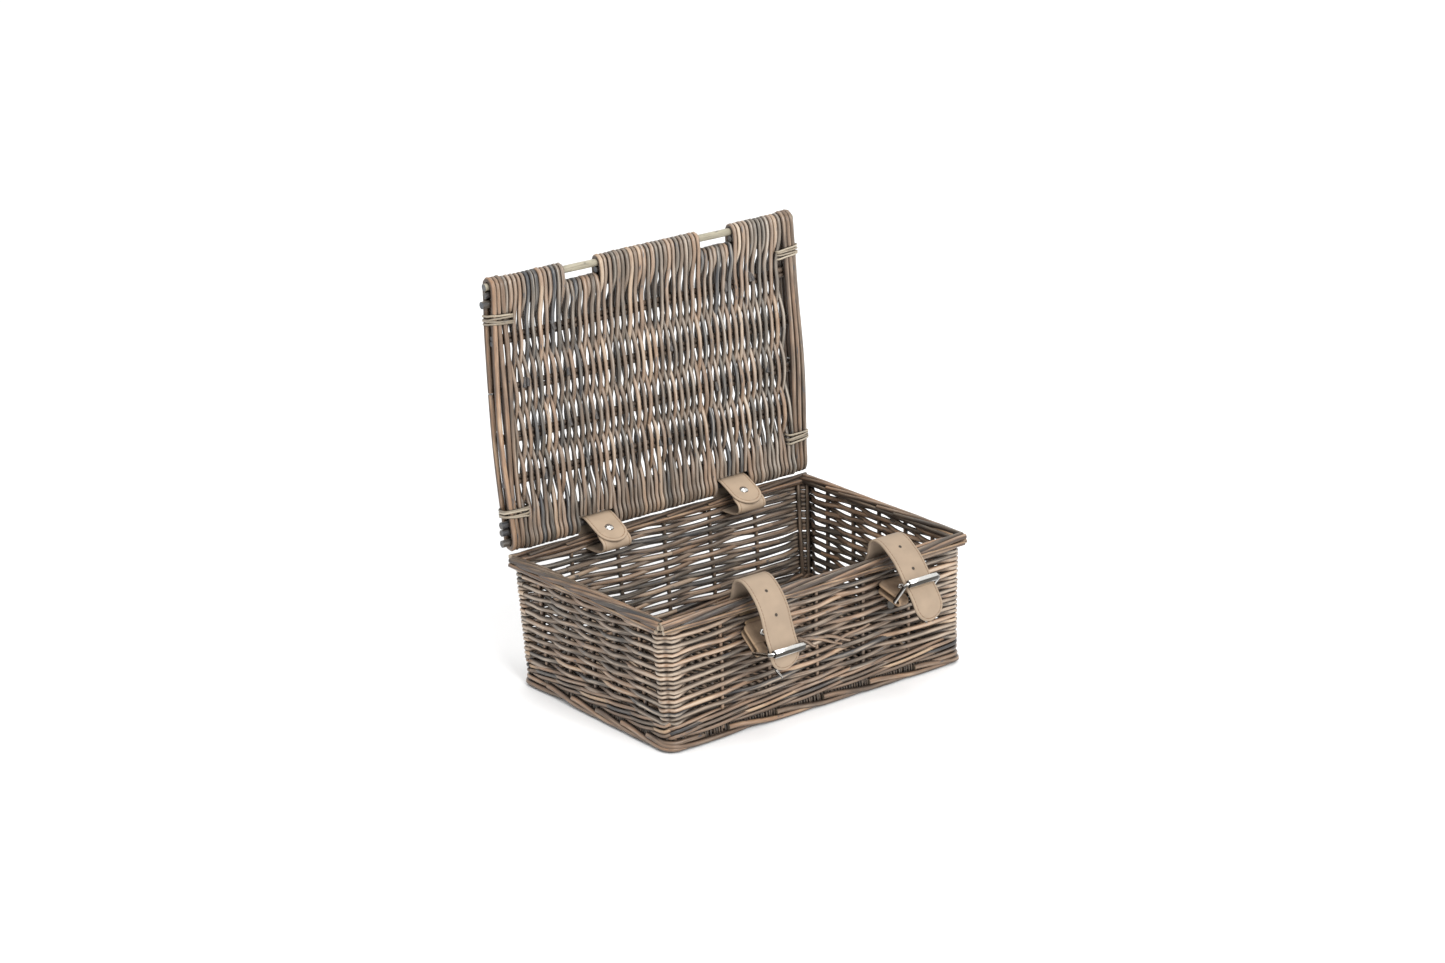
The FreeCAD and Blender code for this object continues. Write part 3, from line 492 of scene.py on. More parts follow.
class Outline:
    """The middle line of the walls: a rounded rectangle travelled left, front, right, back."""

    def __init__(self, half_x, half_y, radius):
        self.radius = radius
        flat_x, flat_y = half_x - radius, half_y - radius
        self.flat = {"left": flat_y, "front": flat_x, "right": flat_y, "back": flat_x}
        self.arc = radius * pi / 2
        heading = np.array([0.0, -1.0])
        corner_start = np.array([-half_x, flat_y])
        self.legs, self.start, travelled = [], {}, 0.0
        for wall in WALLS:
            length = 2 * self.flat[wall]
            outward = np.array([heading[1], -heading[0]])
            self.legs.append((travelled, length, corner_start, heading, outward))
            self.start[wall] = travelled
            corner = corner_start + heading * length - outward * radius
            heading = -outward
            corner_start = corner + np.array([heading[1], -heading[0]]) * radius
            travelled += length + self.arc
        self.total = travelled

    def at(self, s):
        """Places and outward directions at distances along the line."""
        s = np.mod(np.asarray(s, float), self.total)
        places, outs = np.zeros((len(s), 2)), np.zeros((len(s), 2))
        for start, length, corner, heading, outward in self.legs:
            flat = (s >= start) & (s <= start + length)
            places[flat] = corner + heading * (s[flat] - start)[:, None]
            outs[flat] = outward
            bend = (s > start + length) & (s < start + length + self.arc)
            angle = (s[bend] - start - length) / self.radius
            out = np.cos(angle)[:, None] * outward + np.sin(angle)[:, None] * heading
            centre = corner + heading * length - outward * self.radius
            places[bend] = centre + out * self.radius
            outs[bend] = out
        return places, outs

    def along(self, wall, distance):
        """Distance along the line of a place on a wall, given from the wall's middle in travel direction."""
        return self.start[wall] + self.flat[wall] + distance


OUTLINE = Outline(RIM_X - BORDER_OVERHANG - FOOT_INSET / 2 - WALL_THICKNESS / 2,
                  RIM_Y - BORDER_OVERHANG - FOOT_INSET / 2 - WALL_THICKNESS / 2,
                  CORNER_RADIUS - WALL_THICKNESS / 2)


def wall_points(s, z, out):
    """Points on the flared wall: out is the distance outwards from its middle surface."""
    places, outs = OUTLINE.at(s)
    points = np.zeros((len(s), 3))
    lean = np.broadcast_to(out + (z - MIDDLE_HEIGHT) * FLARE, len(s))
    points[:, :2] = places + outs * lean[:, None]
    points[:, 2] = z
    return points, np.column_stack([outs, np.zeros(len(s))])


def wall_sections():
    """The pieces of the outline in travel order: each flat wall, then the corner after it."""
    ends = {"left": WALL_END_Y, "right": WALL_END_Y, "front": WALL_END_X, "back": WALL_END_X}
    corners = {"left": "front_left", "front": "front_right", "right": "back_right", "back": "back_left"}
    sections = []
    for wall in WALLS:
        sections.append((wall, OUTLINE.along(wall, -ends[wall]), OUTLINE.along(wall, ends[wall])))
        following = WALLS[(WALLS.index(wall) + 1) % 4]
        last = OUTLINE.along(following, -ends[following])
        if following == "left":
            last += OUTLINE.total
        sections.append((corners[wall], OUTLINE.along(wall, ends[wall]), last))
    return sections


SECTIONS = wall_sections()


def find_stakes():
    """Every stake's distance along the outline, and whether it is a corner post."""
    stakes = []
    for wall in WALLS:
        stakes += [(OUTLINE.along(wall, d), False) for d in STAKE_PLACES[wall]]
        bend = OUTLINE.start[wall] + 2 * OUTLINE.flat[wall]
        stakes += [(bend + OUTLINE.radius * radians(a), True) for a in (23, 67)]
    places, posts = zip(*stakes)
    return np.array(places), np.array(posts)


STAKE_S, IS_POST = find_stakes()


def bay_position(s):
    """Which bay a place is in, and how far across it from 0 to 1."""
    around = np.concatenate([[STAKE_S[-1] - OUTLINE.total], STAKE_S, [STAKE_S[0] + OUTLINE.total]])
    s = np.mod(s, OUTLINE.total)
    k = np.clip(np.searchsorted(around, s, side="right") - 1, 0, len(around) - 2)
    return k - 1, (s - around[k]) / (around[k + 1] - around[k])


def section_samples():
    """Distances along the whole outline, with every section boundary among them."""
    parts = []
    for name, low, high in SECTIONS:
        step = 2.6 if name in WALLS else 1.2
        parts.append(np.linspace(low, high, int((high - low) / step), endpoint=False))
    return np.concatenate(parts + [[SECTIONS[-1][2]]])


SAMPLES = section_samples()


def with_boundaries(s):
    """A rod's own distances, with every section boundary that it crosses added."""
    edges = np.array([low for _, low, _ in SECTIONS] + [SECTIONS[-1][2]])
    edges = np.concatenate([edges, edges + OUTLINE.total])
    return np.union1d(s, edges[(edges > s[0]) & (edges < s[-1])])


def lay_rod(builders, kind, s, z, out, across, up, tone, wear=0.0):
    """Sweep a rod along the walls, and share it between the wall and corner pieces that it passes through."""
    line, outward = wall_points(s, z, out)
    rings = sweep(line, across, up, outward)
    seed = rng.uniform(0, 900)
    wear = np.broadcast_to(wear, len(s))
    for lap in (0, OUTLINE.total):
        for name, low, high in SECTIONS:
            inside = np.flatnonzero((s >= low + lap - 1e-6) & (s <= high + lap + 1e-6))
            if len(inside) < 2:
                continue
            piece = f"{name}_{kind}" if name in WALLS else name
            ends = (inside[0] == 0, inside[-1] == len(s) - 1)
            builders[piece].store(rings[inside], tone, s[inside], seed, ends, wear=wear[inside])


def post_distances():
    """How far each sample is from the nearest corner post, along the wall."""
    away = np.abs(SAMPLES[:, None] - STAKE_S[IS_POST][None, :])
    return np.minimum(away, OUTLINE.total - away).min(axis=1)


def weaver_row(track, near_post):
    """Outward distance and height of one row, in and out of the stakes but outside every corner post."""
    count = len(STAKE_S)
    sign = np.where(IS_POST, 1, np.where((np.cumsum(~IS_POST) + track) % 2 == 0, 1, -1))
    k, t = bay_position(SAMPLES)
    left, right = sign[k % count], sign[(k + 1) % count]
    after_post, before_post = IS_POST[k % count], IS_POST[(k + 1) % count]
    turn = np.where(after_post, np.clip(2 * t, 0, 1), np.where(before_post, np.clip(2 * t - 1, 0, 1), t))
    out = WEAVER_OUT * (left + (right - left) * ((1 - np.cos(pi * turn)) / 2))
    round_corner = np.where(after_post & before_post, 1.5 * np.sin(pi * t), 0.0)
    out = out - round_corner + 0.9 * near_post ** 1.5
    lens = (WEAVER_LENS * (left - right) / 2 + rng.normal(0, 0.4, count)[k % count]) * np.sin(pi * t)
    pitch = (BORDER_BOTTOM - WALE_TOP + 1.5) / WEAVER_ROWS
    lap = (SAMPLES - SAMPLES[0]) / OUTLINE.total
    z = WALE_TOP - 0.5 + pitch * (track + 0.5 + ROWS_CLIMBED * lap)
    shared = 0.8 * np.sin(SAMPLES / 47 + z / 31) + 0.5 * np.sin(SAMPLES / 19 + z / 13)
    return out, z + lens + shared + waves(SAMPLES, 0.55, (310, 130, 61))


def weaver_wear(out, away):
    """Painted highlight: paler where a weaver bulges outside a stake, more so near the corners, and on the
    corner posts.
    """
    nearby = 1 + 0.5 * np.clip((48 - away) / 30, 0, 1)
    bulge = 0.3 * np.clip((out - 0.9) / 0.9, 0, 1) ** 2 * nearby
    return bulge + 0.12 * np.clip(1.25 - away / 2.6, 0, 1)


def build_siding(builders):
    """Weavers from the waling to the border, climbing as they go round, each row in three lengths."""
    away = post_distances()
    near_post = np.clip(1 - away / 5.5, 0, 1)
    margin = 20  # samples at each end where no weaver is joined
    for track in range(-ROWS_CLIMBED, WEAVER_ROWS + 1):
        out, z = weaver_row(track, near_post)
        hidden = np.flatnonzero(out[margin:-margin] < -0.95 * WEAVER_OUT) + margin
        breaks = [0] + sorted(rng.choice(hidden, 2, replace=False)) + [len(SAMPLES) - 1]
        for first, last in zip(breaks, breaks[1:]):
            keep = np.arange(first, last + 1)
            keep = keep[(z[keep] > WALE_TOP - 1.5) & (z[keep] < BORDER_BOTTOM + 1)]
            if len(keep) < 4:
                continue
            s = SAMPLES[keep]
            taper = 1 + 0.1 * np.linspace(1, -1, len(s)) * rng.choice([-1, 1])
            thick = taper * (1 + waves(s, 0.05, (90, 37)))
            up = (1.86 - 0.33 * near_post[keep]) * thick
            lay_rod(builders, "siding", s, z[keep], out[keep], 1.3 * thick, up,
                    random_tone(), weaver_wear(out[keep], away[keep]))


def add_tuft(builder):
    """A few thin weaver ends crossing the rows at a slant, low in the middle of the front wall."""
    for x0, z0, x1, z1 in ((-18, 55, -3, 46), (-9, 52.5, 20, 42), (5, 50.5, 27, 42.5), (-16, 53, 12, 50),
                           (14, 44.5, 44, 50)):
        t = np.linspace(0, 1, 12)
        places = OUTLINE.along("front", x0 + (x1 - x0) * t)
        out = 2.2 + 1.0 * np.sin(pi * t)
        line, outward = wall_points(places, z0 + (z1 - z0) * t + 0.8 * np.sin(5 * t), out)
        builder.rod(line, 1.5 - 0.5 * t, rng.uniform(0.4, 0.65), normal=outward)


def build_wale(builders):
    """Three rounds of three-rod waling: each rod passes outside two stakes and inside the third."""
    k, t = bay_position(SAMPLES)
    for middle in np.linspace(FOOT_TOP + 2.2, WALE_TOP - 1.6, 3):
        for rod in range(3):
            angle = 2 * pi * (k + t - rod) / 3
            out = 2.15 * (0.3 + 0.95 * np.cos(angle))
            z = middle + 1.75 * np.sin(angle) + waves(SAMPLES, 0.3, (170, 70))
            thick = 1 + waves(SAMPLES, 0.06, (200, 80))
            lay_rod(builders, "wale", SAMPLES, z, out, 1.25 * thick, 1.45 * thick, random_tone())


FOOT_REACH = 92.0
FOOT_CORE = [(-1.6, 2.2), (-1.4, 6.2), (0.6, 2.4)]


def build_foot(builders):
    """Thick rods along the bottom edge: a fresh one starts beside each stake and slides under the last."""
    for start in STAKE_S[~IS_POST]:
        s = with_boundaries(np.arange(start + 3, start + FOOT_REACH, 3.0))
        travel = s - s[0]
        fall = ease(np.clip(travel / 44, 0, 1))
        tuck = np.clip((travel - 52) / 38, 0, 1) ** 2
        out = 2.9 + 0.6 * fall - 3.4 * tuck
        thick = 2.1 - 0.35 * travel / FOOT_REACH
        lay_rod(builders, "foot_border", s, 6.5 - 4.2 * fall, out, thick, thick, rng.uniform(0.4, 0.8))
    for out, z in FOOT_CORE:
        lay_rod(builders, "foot_border", SAMPLES, z, out, 1.95, 1.95, random_tone())
    for name, low, high in SECTIONS:
        if name not in WALLS:
            s = with_boundaries(np.linspace(low - 20, high + 20, 24))
            tuck = np.clip(1 - np.minimum(s - s[0], s[-1] - s) / 14, 0, 1) ** 2
            z, out = 6.3 - 1.5 * tuck, 2.3 - 2.6 * tuck
            lay_rod(builders, "foot_border", s, z, out, 1.9, 1.9, rng.uniform(0.4, 0.7))
    build_base_wraps(builders)


def build_base_wraps(builders):
    """The base's weavers where they turn round its outer stick, a comb behind the flat walls' foot rods."""
    z = np.array([1.5, 3.5, 5.5, 7.5, 9.0])
    out = np.array([0.6, 1.3, 1.5, 1.3, 0.8])
    for place in np.arange(SAMPLES[0] + 2, SAMPLES[-1], 2.3):
        line, outward = wall_points(np.full(len(z), place) + rng.normal(0, 0.3), z, out)
        rings = sweep(line, 0.8, 0.75, outward)
        for name, low, high in SECTIONS:
            if low <= place < high and name in WALLS:
                builders[f"{name}_foot_border"].store(rings, rng.uniform(0.15, 0.5), z, rng.uniform(0, 900))


def build_stakes():
    """Upright stakes from the foot to the border: a piece for each wall, and one for the corner posts."""
    z = np.arange(FOOT_TOP - 3, BORDER_BOTTOM + 1.1, 4.0)
    for wall in WALLS:
        flat = Strands()
        for distance in STAKE_PLACES[wall]:
            line, outward = wall_points(OUTLINE.along(wall, distance) + waves(z, 0.5, (90, 47)), z, 0)
            flat.rod(line, STAKE_RADIUS, rng.uniform(0.3, 0.85), normal=outward)
        flat.finish(f"{wall}_stakes", RODS, "basket")
    corner = Strands()
    for s in STAKE_S[IS_POST]:
        line, outward = wall_points(np.full(len(z), s), z, 0)
        corner.rod(line, STAKE_RADIUS, normal=outward)
    corner.finish("corner_stakes", RODS, "basket")


def build_walls():
    """The woven walls and their stakes, a piece for each part of a wall and each corner."""
    corners = [name for name, _, _ in SECTIONS if name not in WALLS]
    names = corners + [f"{wall}_{kind}" for wall in WALLS for kind in ("siding", "wale", "foot_border")]
    builders = {name: Strands() for name in names}
    build_siding(builders)
    add_tuft(builders["front_siding"])
    build_wale(builders)
    build_foot(builders)
    materials = {"back_siding": SHADED_BACK_WEAVERS, **{f"{wall}_foot_border": RODS for wall in WALLS}}
    for name, builder in builders.items():
        node = f"{name}_corner_weave" if name in corners else name
        builder.finish(node, materials.get(name, WALL_WEAVERS), "basket")
    build_stakes()


# --- the rolled top border

# how a border rod lies: distance along, outwards from the border's middle, height over its underside
BORDER_LIE = np.array([(0, 0.2, -1.5), (7, 2.2, 1.0), (20, 3.15, 2.1), (45, 2.8, 3.9), (75, 0.6, 5.0),
                       (105, -2.2, 4.3), (128, -3.3, 2.9)])
# the straight rods inside it: outwards, height and radius
BORDER_CORE = [(-0.4, 2.0, 1.8), (-3.2, 1.9, 1.6), (1.2, 3.6, 1.5), (3.5, -0.4, 1.6)]


def border_rod(builder, to_world, start, low, high):
    distance, lie_out, lie_rise = BORDER_LIE.T
    travel = np.arange(0, distance[-1] * rng.uniform(0.9, 1.05), 3.0)
    travel = travel[(start + travel > low) & (start + travel < high)]
    if len(travel) < 4:
        return
    place = start + travel
    out = np.interp(travel, distance, lie_out) + waves(place, 0.25, (60, 130))
    rise = np.interp(travel, distance, lie_rise) + waves(place, 0.2, (80, 150))
    line = to_world(place, running_mean(out, 5), BORDER_BOTTOM + running_mean(rise, 5))
    builder.rod(line, 1.95 - 0.4 * travel / distance[-1])


def build_border(wall):
    """Each stake bends over and lies along the border for three bays, over a core of straight rods."""
    long_side = wall in ("front", "back")
    middle = (RIM_Y if long_side else RIM_X) - BORDER_WIDTH / 2
    heading = np.array({"front": (1, 0), "back": (-1, 0), "left": (0, -1), "right": (0, 1)}[wall])
    outward = np.array([heading[1], -heading[0]])

    def to_world(place, out, z):
        flat = np.outer(place, heading) + np.outer(middle + out, outward)
        return np.column_stack([flat, np.broadcast_to(z, len(place))])

    builder = Strands(12)
    end = RIM_X if long_side else RIM_Y - 3.0
    spread = STAKE_PLACES[wall]
    pitch = spread[1] - spread[0]
    for start in np.arange(spread[0] - 3 * pitch, spread[-1] + 1.1 * pitch, pitch):
        start = start + rng.uniform(-2, 2)
        low = -end + rng.uniform(0, 2.5)
        border_rod(builder, to_world, start, low, end - rng.uniform(0, 2))
    for out, rise, radius in BORDER_CORE:
        place = np.arange(-end + 3, end - 2, 4.0)
        line = to_world(place, out + waves(place, 0.25, (150, 90)), BORDER_BOTTOM + rise)
        builder.rod(line, radius)
    builder.finish(f"{wall}_border", RODS, "basket")


# --- base

BASE_PITCH = 32.0
BASE_PAIRS = np.arange(-2, 3) * BASE_PITCH


def build_base():
    """Five pairs of sticks along the base, and weavers across them, over one pair and under the next."""
    low, high = cad_box("base_weave")
    middle = high[2] / 2
    weave = Strands(8)
    y = np.arange(low[1] + 0.3, high[1], 3.4)
    for i, x in enumerate(np.arange(low[0] + 1.6, high[0] - 1.5, 3.35)):
        angle = pi * (y - BASE_PAIRS[0]) / BASE_PITCH
        drift = 0.6 * np.sin(angle) * (-1) ** i + waves(y, 0.25, (70, 140))
        line = np.column_stack([x + drift, y, middle + 2.6 * np.cos(angle) * (-1) ** i])
        weave.rod(line, 1.3, up=1.45)
    weave.finish("base_weave", WEAVERS, "basket")
    sticks = Strands()
    low, high = cad_box("base_sticks")
    x = np.arange(low[0], high[0], 8.0)
    for pair in BASE_PAIRS:
        for sign in SIDES.values():
            y = pair + sign * 2.4 + waves(x, 0.3, (120, 70))
            sticks.rod(np.column_stack([x, y, np.full(len(x), middle)]), 1.95)
    sticks.finish("base_sticks", RODS, "basket")


# --- lid

def on_lid(points):
    """From the lid's own frame (x, depth, distance from the hinge rod) to the part's frame."""
    points = np.asarray(points, float)
    c, s = cos(LID_LEAN), sin(LID_LEAN)
    y = points[:, 1] * c + points[:, 2] * s
    z = -points[:, 1] * s + points[:, 2] * c
    return np.column_stack([points[:, 0], y, z]) + np.array([0, HINGE[1], HINGE[2]])


def lid_stick(builder, s, radius, low, high, tone):
    """A stick across the lid, at a distance s from the hinge rod."""
    x = np.arange(low, high + 1, 6.0)
    x[-1] = high
    line = np.column_stack([x, waves(x, 0.15, (140, 75)), s + waves(x, 0.25, (160, 90))])
    builder.rod(on_lid(line), radius * (1 + waves(x, 0.04, (60, 110))), tone)


def build_lid_sticks():
    """The sticks across the lid, dark but for the paler ribs and the bare rod at its edge."""
    end = LID_PANEL_X + 12.6
    plan = [("lid_hinge_rod", [(REAR_STICKS[0], 2.6)]),
            ("lid_rear_sticks", [(REAR_STICKS[1], 2.4), (REAR_STICKS[2], 2.6)]),
            ("lid_ribs", [(s + sign * RIB_PITCH / 2, 1.85) for s in RIBS for sign in SIDES.values()]),
            ("lid_inner_edge_stick", [(EDGE_STICKS[0], 2.7)])]
    for node, sticks in plan:
        builder = Strands(12)
        hidden, tones = (5.0, (0.3, 0.55)) if node == "lid_ribs" else (0.0, (0.0, 0.15))
        for s, radius in sticks:
            low, high = -end + hidden - rng.uniform(2.0, 3.4), end - hidden - rng.uniform(0, 1.5)
            lid_stick(builder, s, radius, low, high, rng.uniform(*tones))
        builder.finish(node, STICKS, "lid")
    rod = Strands(14)
    lid_stick(rod, EDGE_STICKS[2], 2.65, -end, end, 0.6)
    rod.finish("lid_edge_rod", BARE, "lid")
    middle = Strands(12)
    cuts = [-end, *SLOTS["left"], *SLOTS["right"], end]
    for low, high in zip(cuts[::2], cuts[1::2]):
        lid_stick(middle, EDGE_STICKS[1], 2.4, low, high, rng.uniform(0.0, 0.15))
    middle.finish("lid_middle_edge_sticks", STICKS, "lid")


def in_slot(x):
    return any(low < x < high for low, high in SLOTS.values())


def wrap(centre, side, radius, upwards, steps=9):
    """Half a turn round a rod at the lid's end, from one face to the other."""
    angle = np.linspace(0, pi, steps)
    return [(side * radius * cos(a), centre + upwards * radius * sin(a)) for a in angle]


def by_hinge_loop(x):
    return any(abs(x - middle) < 14.0 for middle in LOOP_X.values())


def turns_at(index, edge):
    """Three strands in four turn round an edge; the fourth is tucked in behind it."""
    return index % 4 != (3 if edge == "top" else 1)


def weaver_path(index, x):
    """Depth and height of one lid weaver: round the hinge rod, over and under the ribs, round the edge."""
    if not turns_at(index, "bottom"):
        path = [(4.4, REAR_STICKS[1]), (4.2, REAR_STICKS[2] + 2)]
    elif by_hinge_loop(x):
        path = [(-3.5, 6.0), (-4.0, REAR_STICKS[2])]
    else:
        path = [(2.0, REAR_STICKS[2] + 6.0), (3.8, REAR_STICKS[2] + 1.5), (4.3, REAR_STICKS[1])]
        path += wrap(REAR_STICKS[0], 1, 5.8, -1)
        path += [(-4.3, REAR_STICKS[1]), (-4.0, REAR_STICKS[2])]
    for k, rib in enumerate(RIBS):
        depth = 3.1 * (-1) ** (index + k)
        path += [(depth, rib - 3.2), (depth, rib + 3.2)]
    if turns_at(index, "top"):
        path += [(-4.0, EDGE_STICKS[0] - 1.5)]
        path += wrap(EDGE_STICKS[0], -1, 3.4, 1) if in_slot(x) else wrap(EDGE_STICKS[2], -1, 4.0, 1)
        path += [(3.8, EDGE_STICKS[0] - 1.5), (2.2, EDGE_STICKS[0] - 6.0)]
    else:
        path += [(4.2, EDGE_STICKS[0] - 2), (4.4, EDGE_STICKS[0] + 2)]
    return smooth_line(path, 2.4)


def spread_turns(edge):
    """Where each strand lies at an edge: the turns share its whole length evenly."""
    turning = np.array([turns_at(index, edge) for index in range(LID_WEAVERS)])
    reach = LID_PANEL_X - 1.9
    even = np.linspace(-reach, reach, turning.sum())
    return np.interp(np.arange(LID_WEAVERS), np.flatnonzero(turning), even)


LID_EVEN = np.linspace(-LID_PANEL_X + 1.7, LID_PANEL_X - 1.7, LID_WEAVERS)


def lid_weaver(index, top, bottom, stops):
    """One weaver's line in the lid's own frame: packed at the edges, evenly spread and swaying between."""
    path = weaver_path(index, top if turns_at(index, "top") else bottom)
    s = path[:, 1]
    k = np.clip(np.searchsorted(stops, s, side="right") - 1, 0, len(stops) - 2)
    t = np.clip((s - stops[k]) / (stops[k + 1] - stops[k]), 0, 1)
    sway = rng.normal(0, 0.32, len(stops)) + 0.15 * (-1.0) ** (np.arange(len(stops)) + index)
    inside = ease(np.clip(np.minimum(s - 6, 176 - s) / 24, 0, 1))
    edge_place = np.where(s > 90, top, bottom)
    x = edge_place + (LID_EVEN[index] - edge_place) * inside
    wander = inside * (waves(s, 0.7, (95, 43, 190)) - 1.5 * (s / 90 - 1))
    x = x + sway[k] * np.sin(pi * t) + wander + rng.normal(0, 0.12)
    return np.column_stack([x, path[:, 0], s]), inside


def build_lid_weave():
    """Weavers from hinge to edge. Their turns round the edge go to the pieces on each side of the slots."""
    builders = {name: Strands() for name in ("panel", "left", "centre", "right")}
    stops = np.array([REAR_STICKS[2] + 3, *RIBS, EDGE_STICKS[0] - 2])
    top, bottom = spread_turns("top"), spread_turns("bottom")
    for index in range(LID_WEAVERS):
        path, inside = lid_weaver(index, top[index], bottom[index], stops)
        x, s = path[:, 0], path[:, 2]
        line = on_lid(path)
        radius = (1.76 - 0.08 * inside) * rng.uniform(0.93, 1.07)
        radius = radius * (1 + 0.08 * np.linspace(-1, 1, len(s)) * rng.choice([-1, 1]))
        tone, seed, sideways = random_tone(), rng.uniform(0, 900), pi / 2
        # painted highlight: some strands get paler crowns, more of them towards the lid's right half
        wear = 0.4 * rng.uniform() ** 2 * np.clip((LID_EVEN[index] + 60) / 120, 0, 1)
        rings = sweep(line, radius, radius, np.broadcast_to((1.0, 0, 0), line.shape))
        along = lengths_along(line)
        spans = [(0, len(s) - 1, "panel", (True, True))]
        over = np.flatnonzero(s > EDGE_STICKS[0] + 3.7)
        if len(over) >= 3 and not in_slot(top[index]):
            first, last = over[0], over[-1]
            edge = "left" if x[first] < SLOTS["left"][0] else "centre"
            edge = "right" if x[first] > SLOTS["right"][1] else edge
            spans = [(0, first, "panel", (True, False)), (first, last, edge, (False, False)),
                     (last, len(s) - 1, "panel", (False, True))]
        for low, high, name, ends in spans:
            builders[name].store(rings[low:high + 1], tone, along[low:high + 1], seed, ends, sideways, wear)
    add_stained_ends(builders["panel"])
    builders.pop("panel").finish("lid_weave", WEAVERS, "lid")
    for name, builder in builders.items():
        builder.finish(f"lid_edge_weave_{name}", WEAVERS, "lid")


def add_stained_ends(builder):
    """Cut ends of joined weavers, dark and stained, pushed out beside the ribs."""
    for rib in RIBS:
        for x in rng.uniform(-LID_PANEL_X + 6, LID_PANEL_X - 6, 4):
            lean, shift = rng.uniform(-1.5, 1.5), rng.uniform(-2.5, 2.5)
            line = on_lid([(x - lean, -2.6, rib + shift + 5), (x, -4.3, rib + shift + 1.5),
                           (x + lean * 0.6, -5.4, rib + shift - 1.2)])
            builder.rod(line, 1.35, 0.0, normal=(1, 0, 0))


SIDE_RODS_X = (119.9, 123.3, 126.6)
BINDINGS = (17.5, 155.5)  # distances from the hinge rod to their lowest turns


def build_side_rods(side):
    """Three rods looped round the stick ends, up the front and down the back, each joined at the back."""
    sign = SIDES[side]
    builder = Strands(12)
    depth = 4.8
    for k, x in enumerate(SIDE_RODS_X):
        join = 50.0 + 28 * k
        path = [(depth, s) for s in np.linspace(join, 12, 4)] + wrap(REAR_STICKS[0], 1, depth, -1)
        path += [(-depth, s) for s in np.linspace(14, 170, 9)] + wrap(EDGE_STICKS[2], -1, depth, 1)
        path += [(depth, s) for s in np.linspace(170, join + 1, 6)]
        path = smooth_line(path, 3.0)
        s = path[:, 1]
        inside = np.clip(np.minimum(s, 182 - s) / 40, 0, 1)
        front = path[:, 0] < 0
        wander = np.where(front, waves(s, 1.2, (230, 120)), waves(s, 0.7, (260, 150)))
        bow = np.sin(pi * np.clip((s - 8) / 164, 0, 1)) ** 0.6
        spread = (0.6 + 1.3 * k) if side == "left" else (0.9 + 0.7 * k)
        spot = np.clip(x + bow * spread + inside * wander, 119.2, 132.5 if side == "left" else 129.6)
        spot = running_mean(spot, 7)
        tone = rng.uniform(0.62, 0.95) if side == "left" and k else rng.uniform(0.25, 0.6)
        radius = 1.95 * (1 + waves(s, 0.06, (170, 90)))
        line = on_lid(np.column_stack([sign * spot, path[:, 0], s]))
        builder.rod(line, radius, tone, normal=(1, 0, 0), facing=pi / 2)
    builder.finish(f"lid_side_rods_{side}", RODS, "lid")


def build_bindings():
    """Turns of flat skein round the side rods near each corner."""
    builder = Strands(8)
    half_x, half_y = 9.8, 7.3
    for sign in SIDES.values():
        for low in BINDINGS:
            for turn in range(4):
                angle = np.linspace(0, 2 * pi, 33) + rng.uniform(0, 6)
                c, s = np.cos(angle), np.sin(angle)
                x = np.sign(c) * np.abs(c) ** 0.55 * half_x
                y = np.sign(s) * np.abs(s) ** 0.55 * half_y
                height = low + 0.8 + 1.9 * turn + 0.8 * np.sin(angle + rng.uniform(0, 6)) - 1.2 * c * s
                line = on_lid(np.column_stack([sign * (121.8 + x), y, height]))
                outward = np.column_stack([sign * c / half_x, s / half_y, np.zeros(len(c))])
                builder.rod(line, 0.55, rng.uniform(0.1, 1.0), normal=outward, up=0.85)
    builder.finish("lid_corner_bindings", SKEIN, "lid")


# --- leather

LEATHER_WIDTH = 24.0
# rings in the rounded tip of a strip
TIP_STEPS = 10


def profile(half_width, half_thickness, columns=9):
    """Corners of a strip's rounded section, counted round from one edge."""
    across = np.linspace(-1, 1, columns) * (half_width - half_thickness)
    top = [(v, half_thickness) for v in across]
    turn = np.linspace(pi / 2, -pi / 2, 5)[1:-1]
    right = [(across[-1] + half_thickness * cos(a), half_thickness * sin(a)) for a in turn]
    bottom = [(v, -half_thickness) for v in across[::-1]]
    left = [(-v, -n) for v, n in right]
    return np.array(top + right + bottom + left)


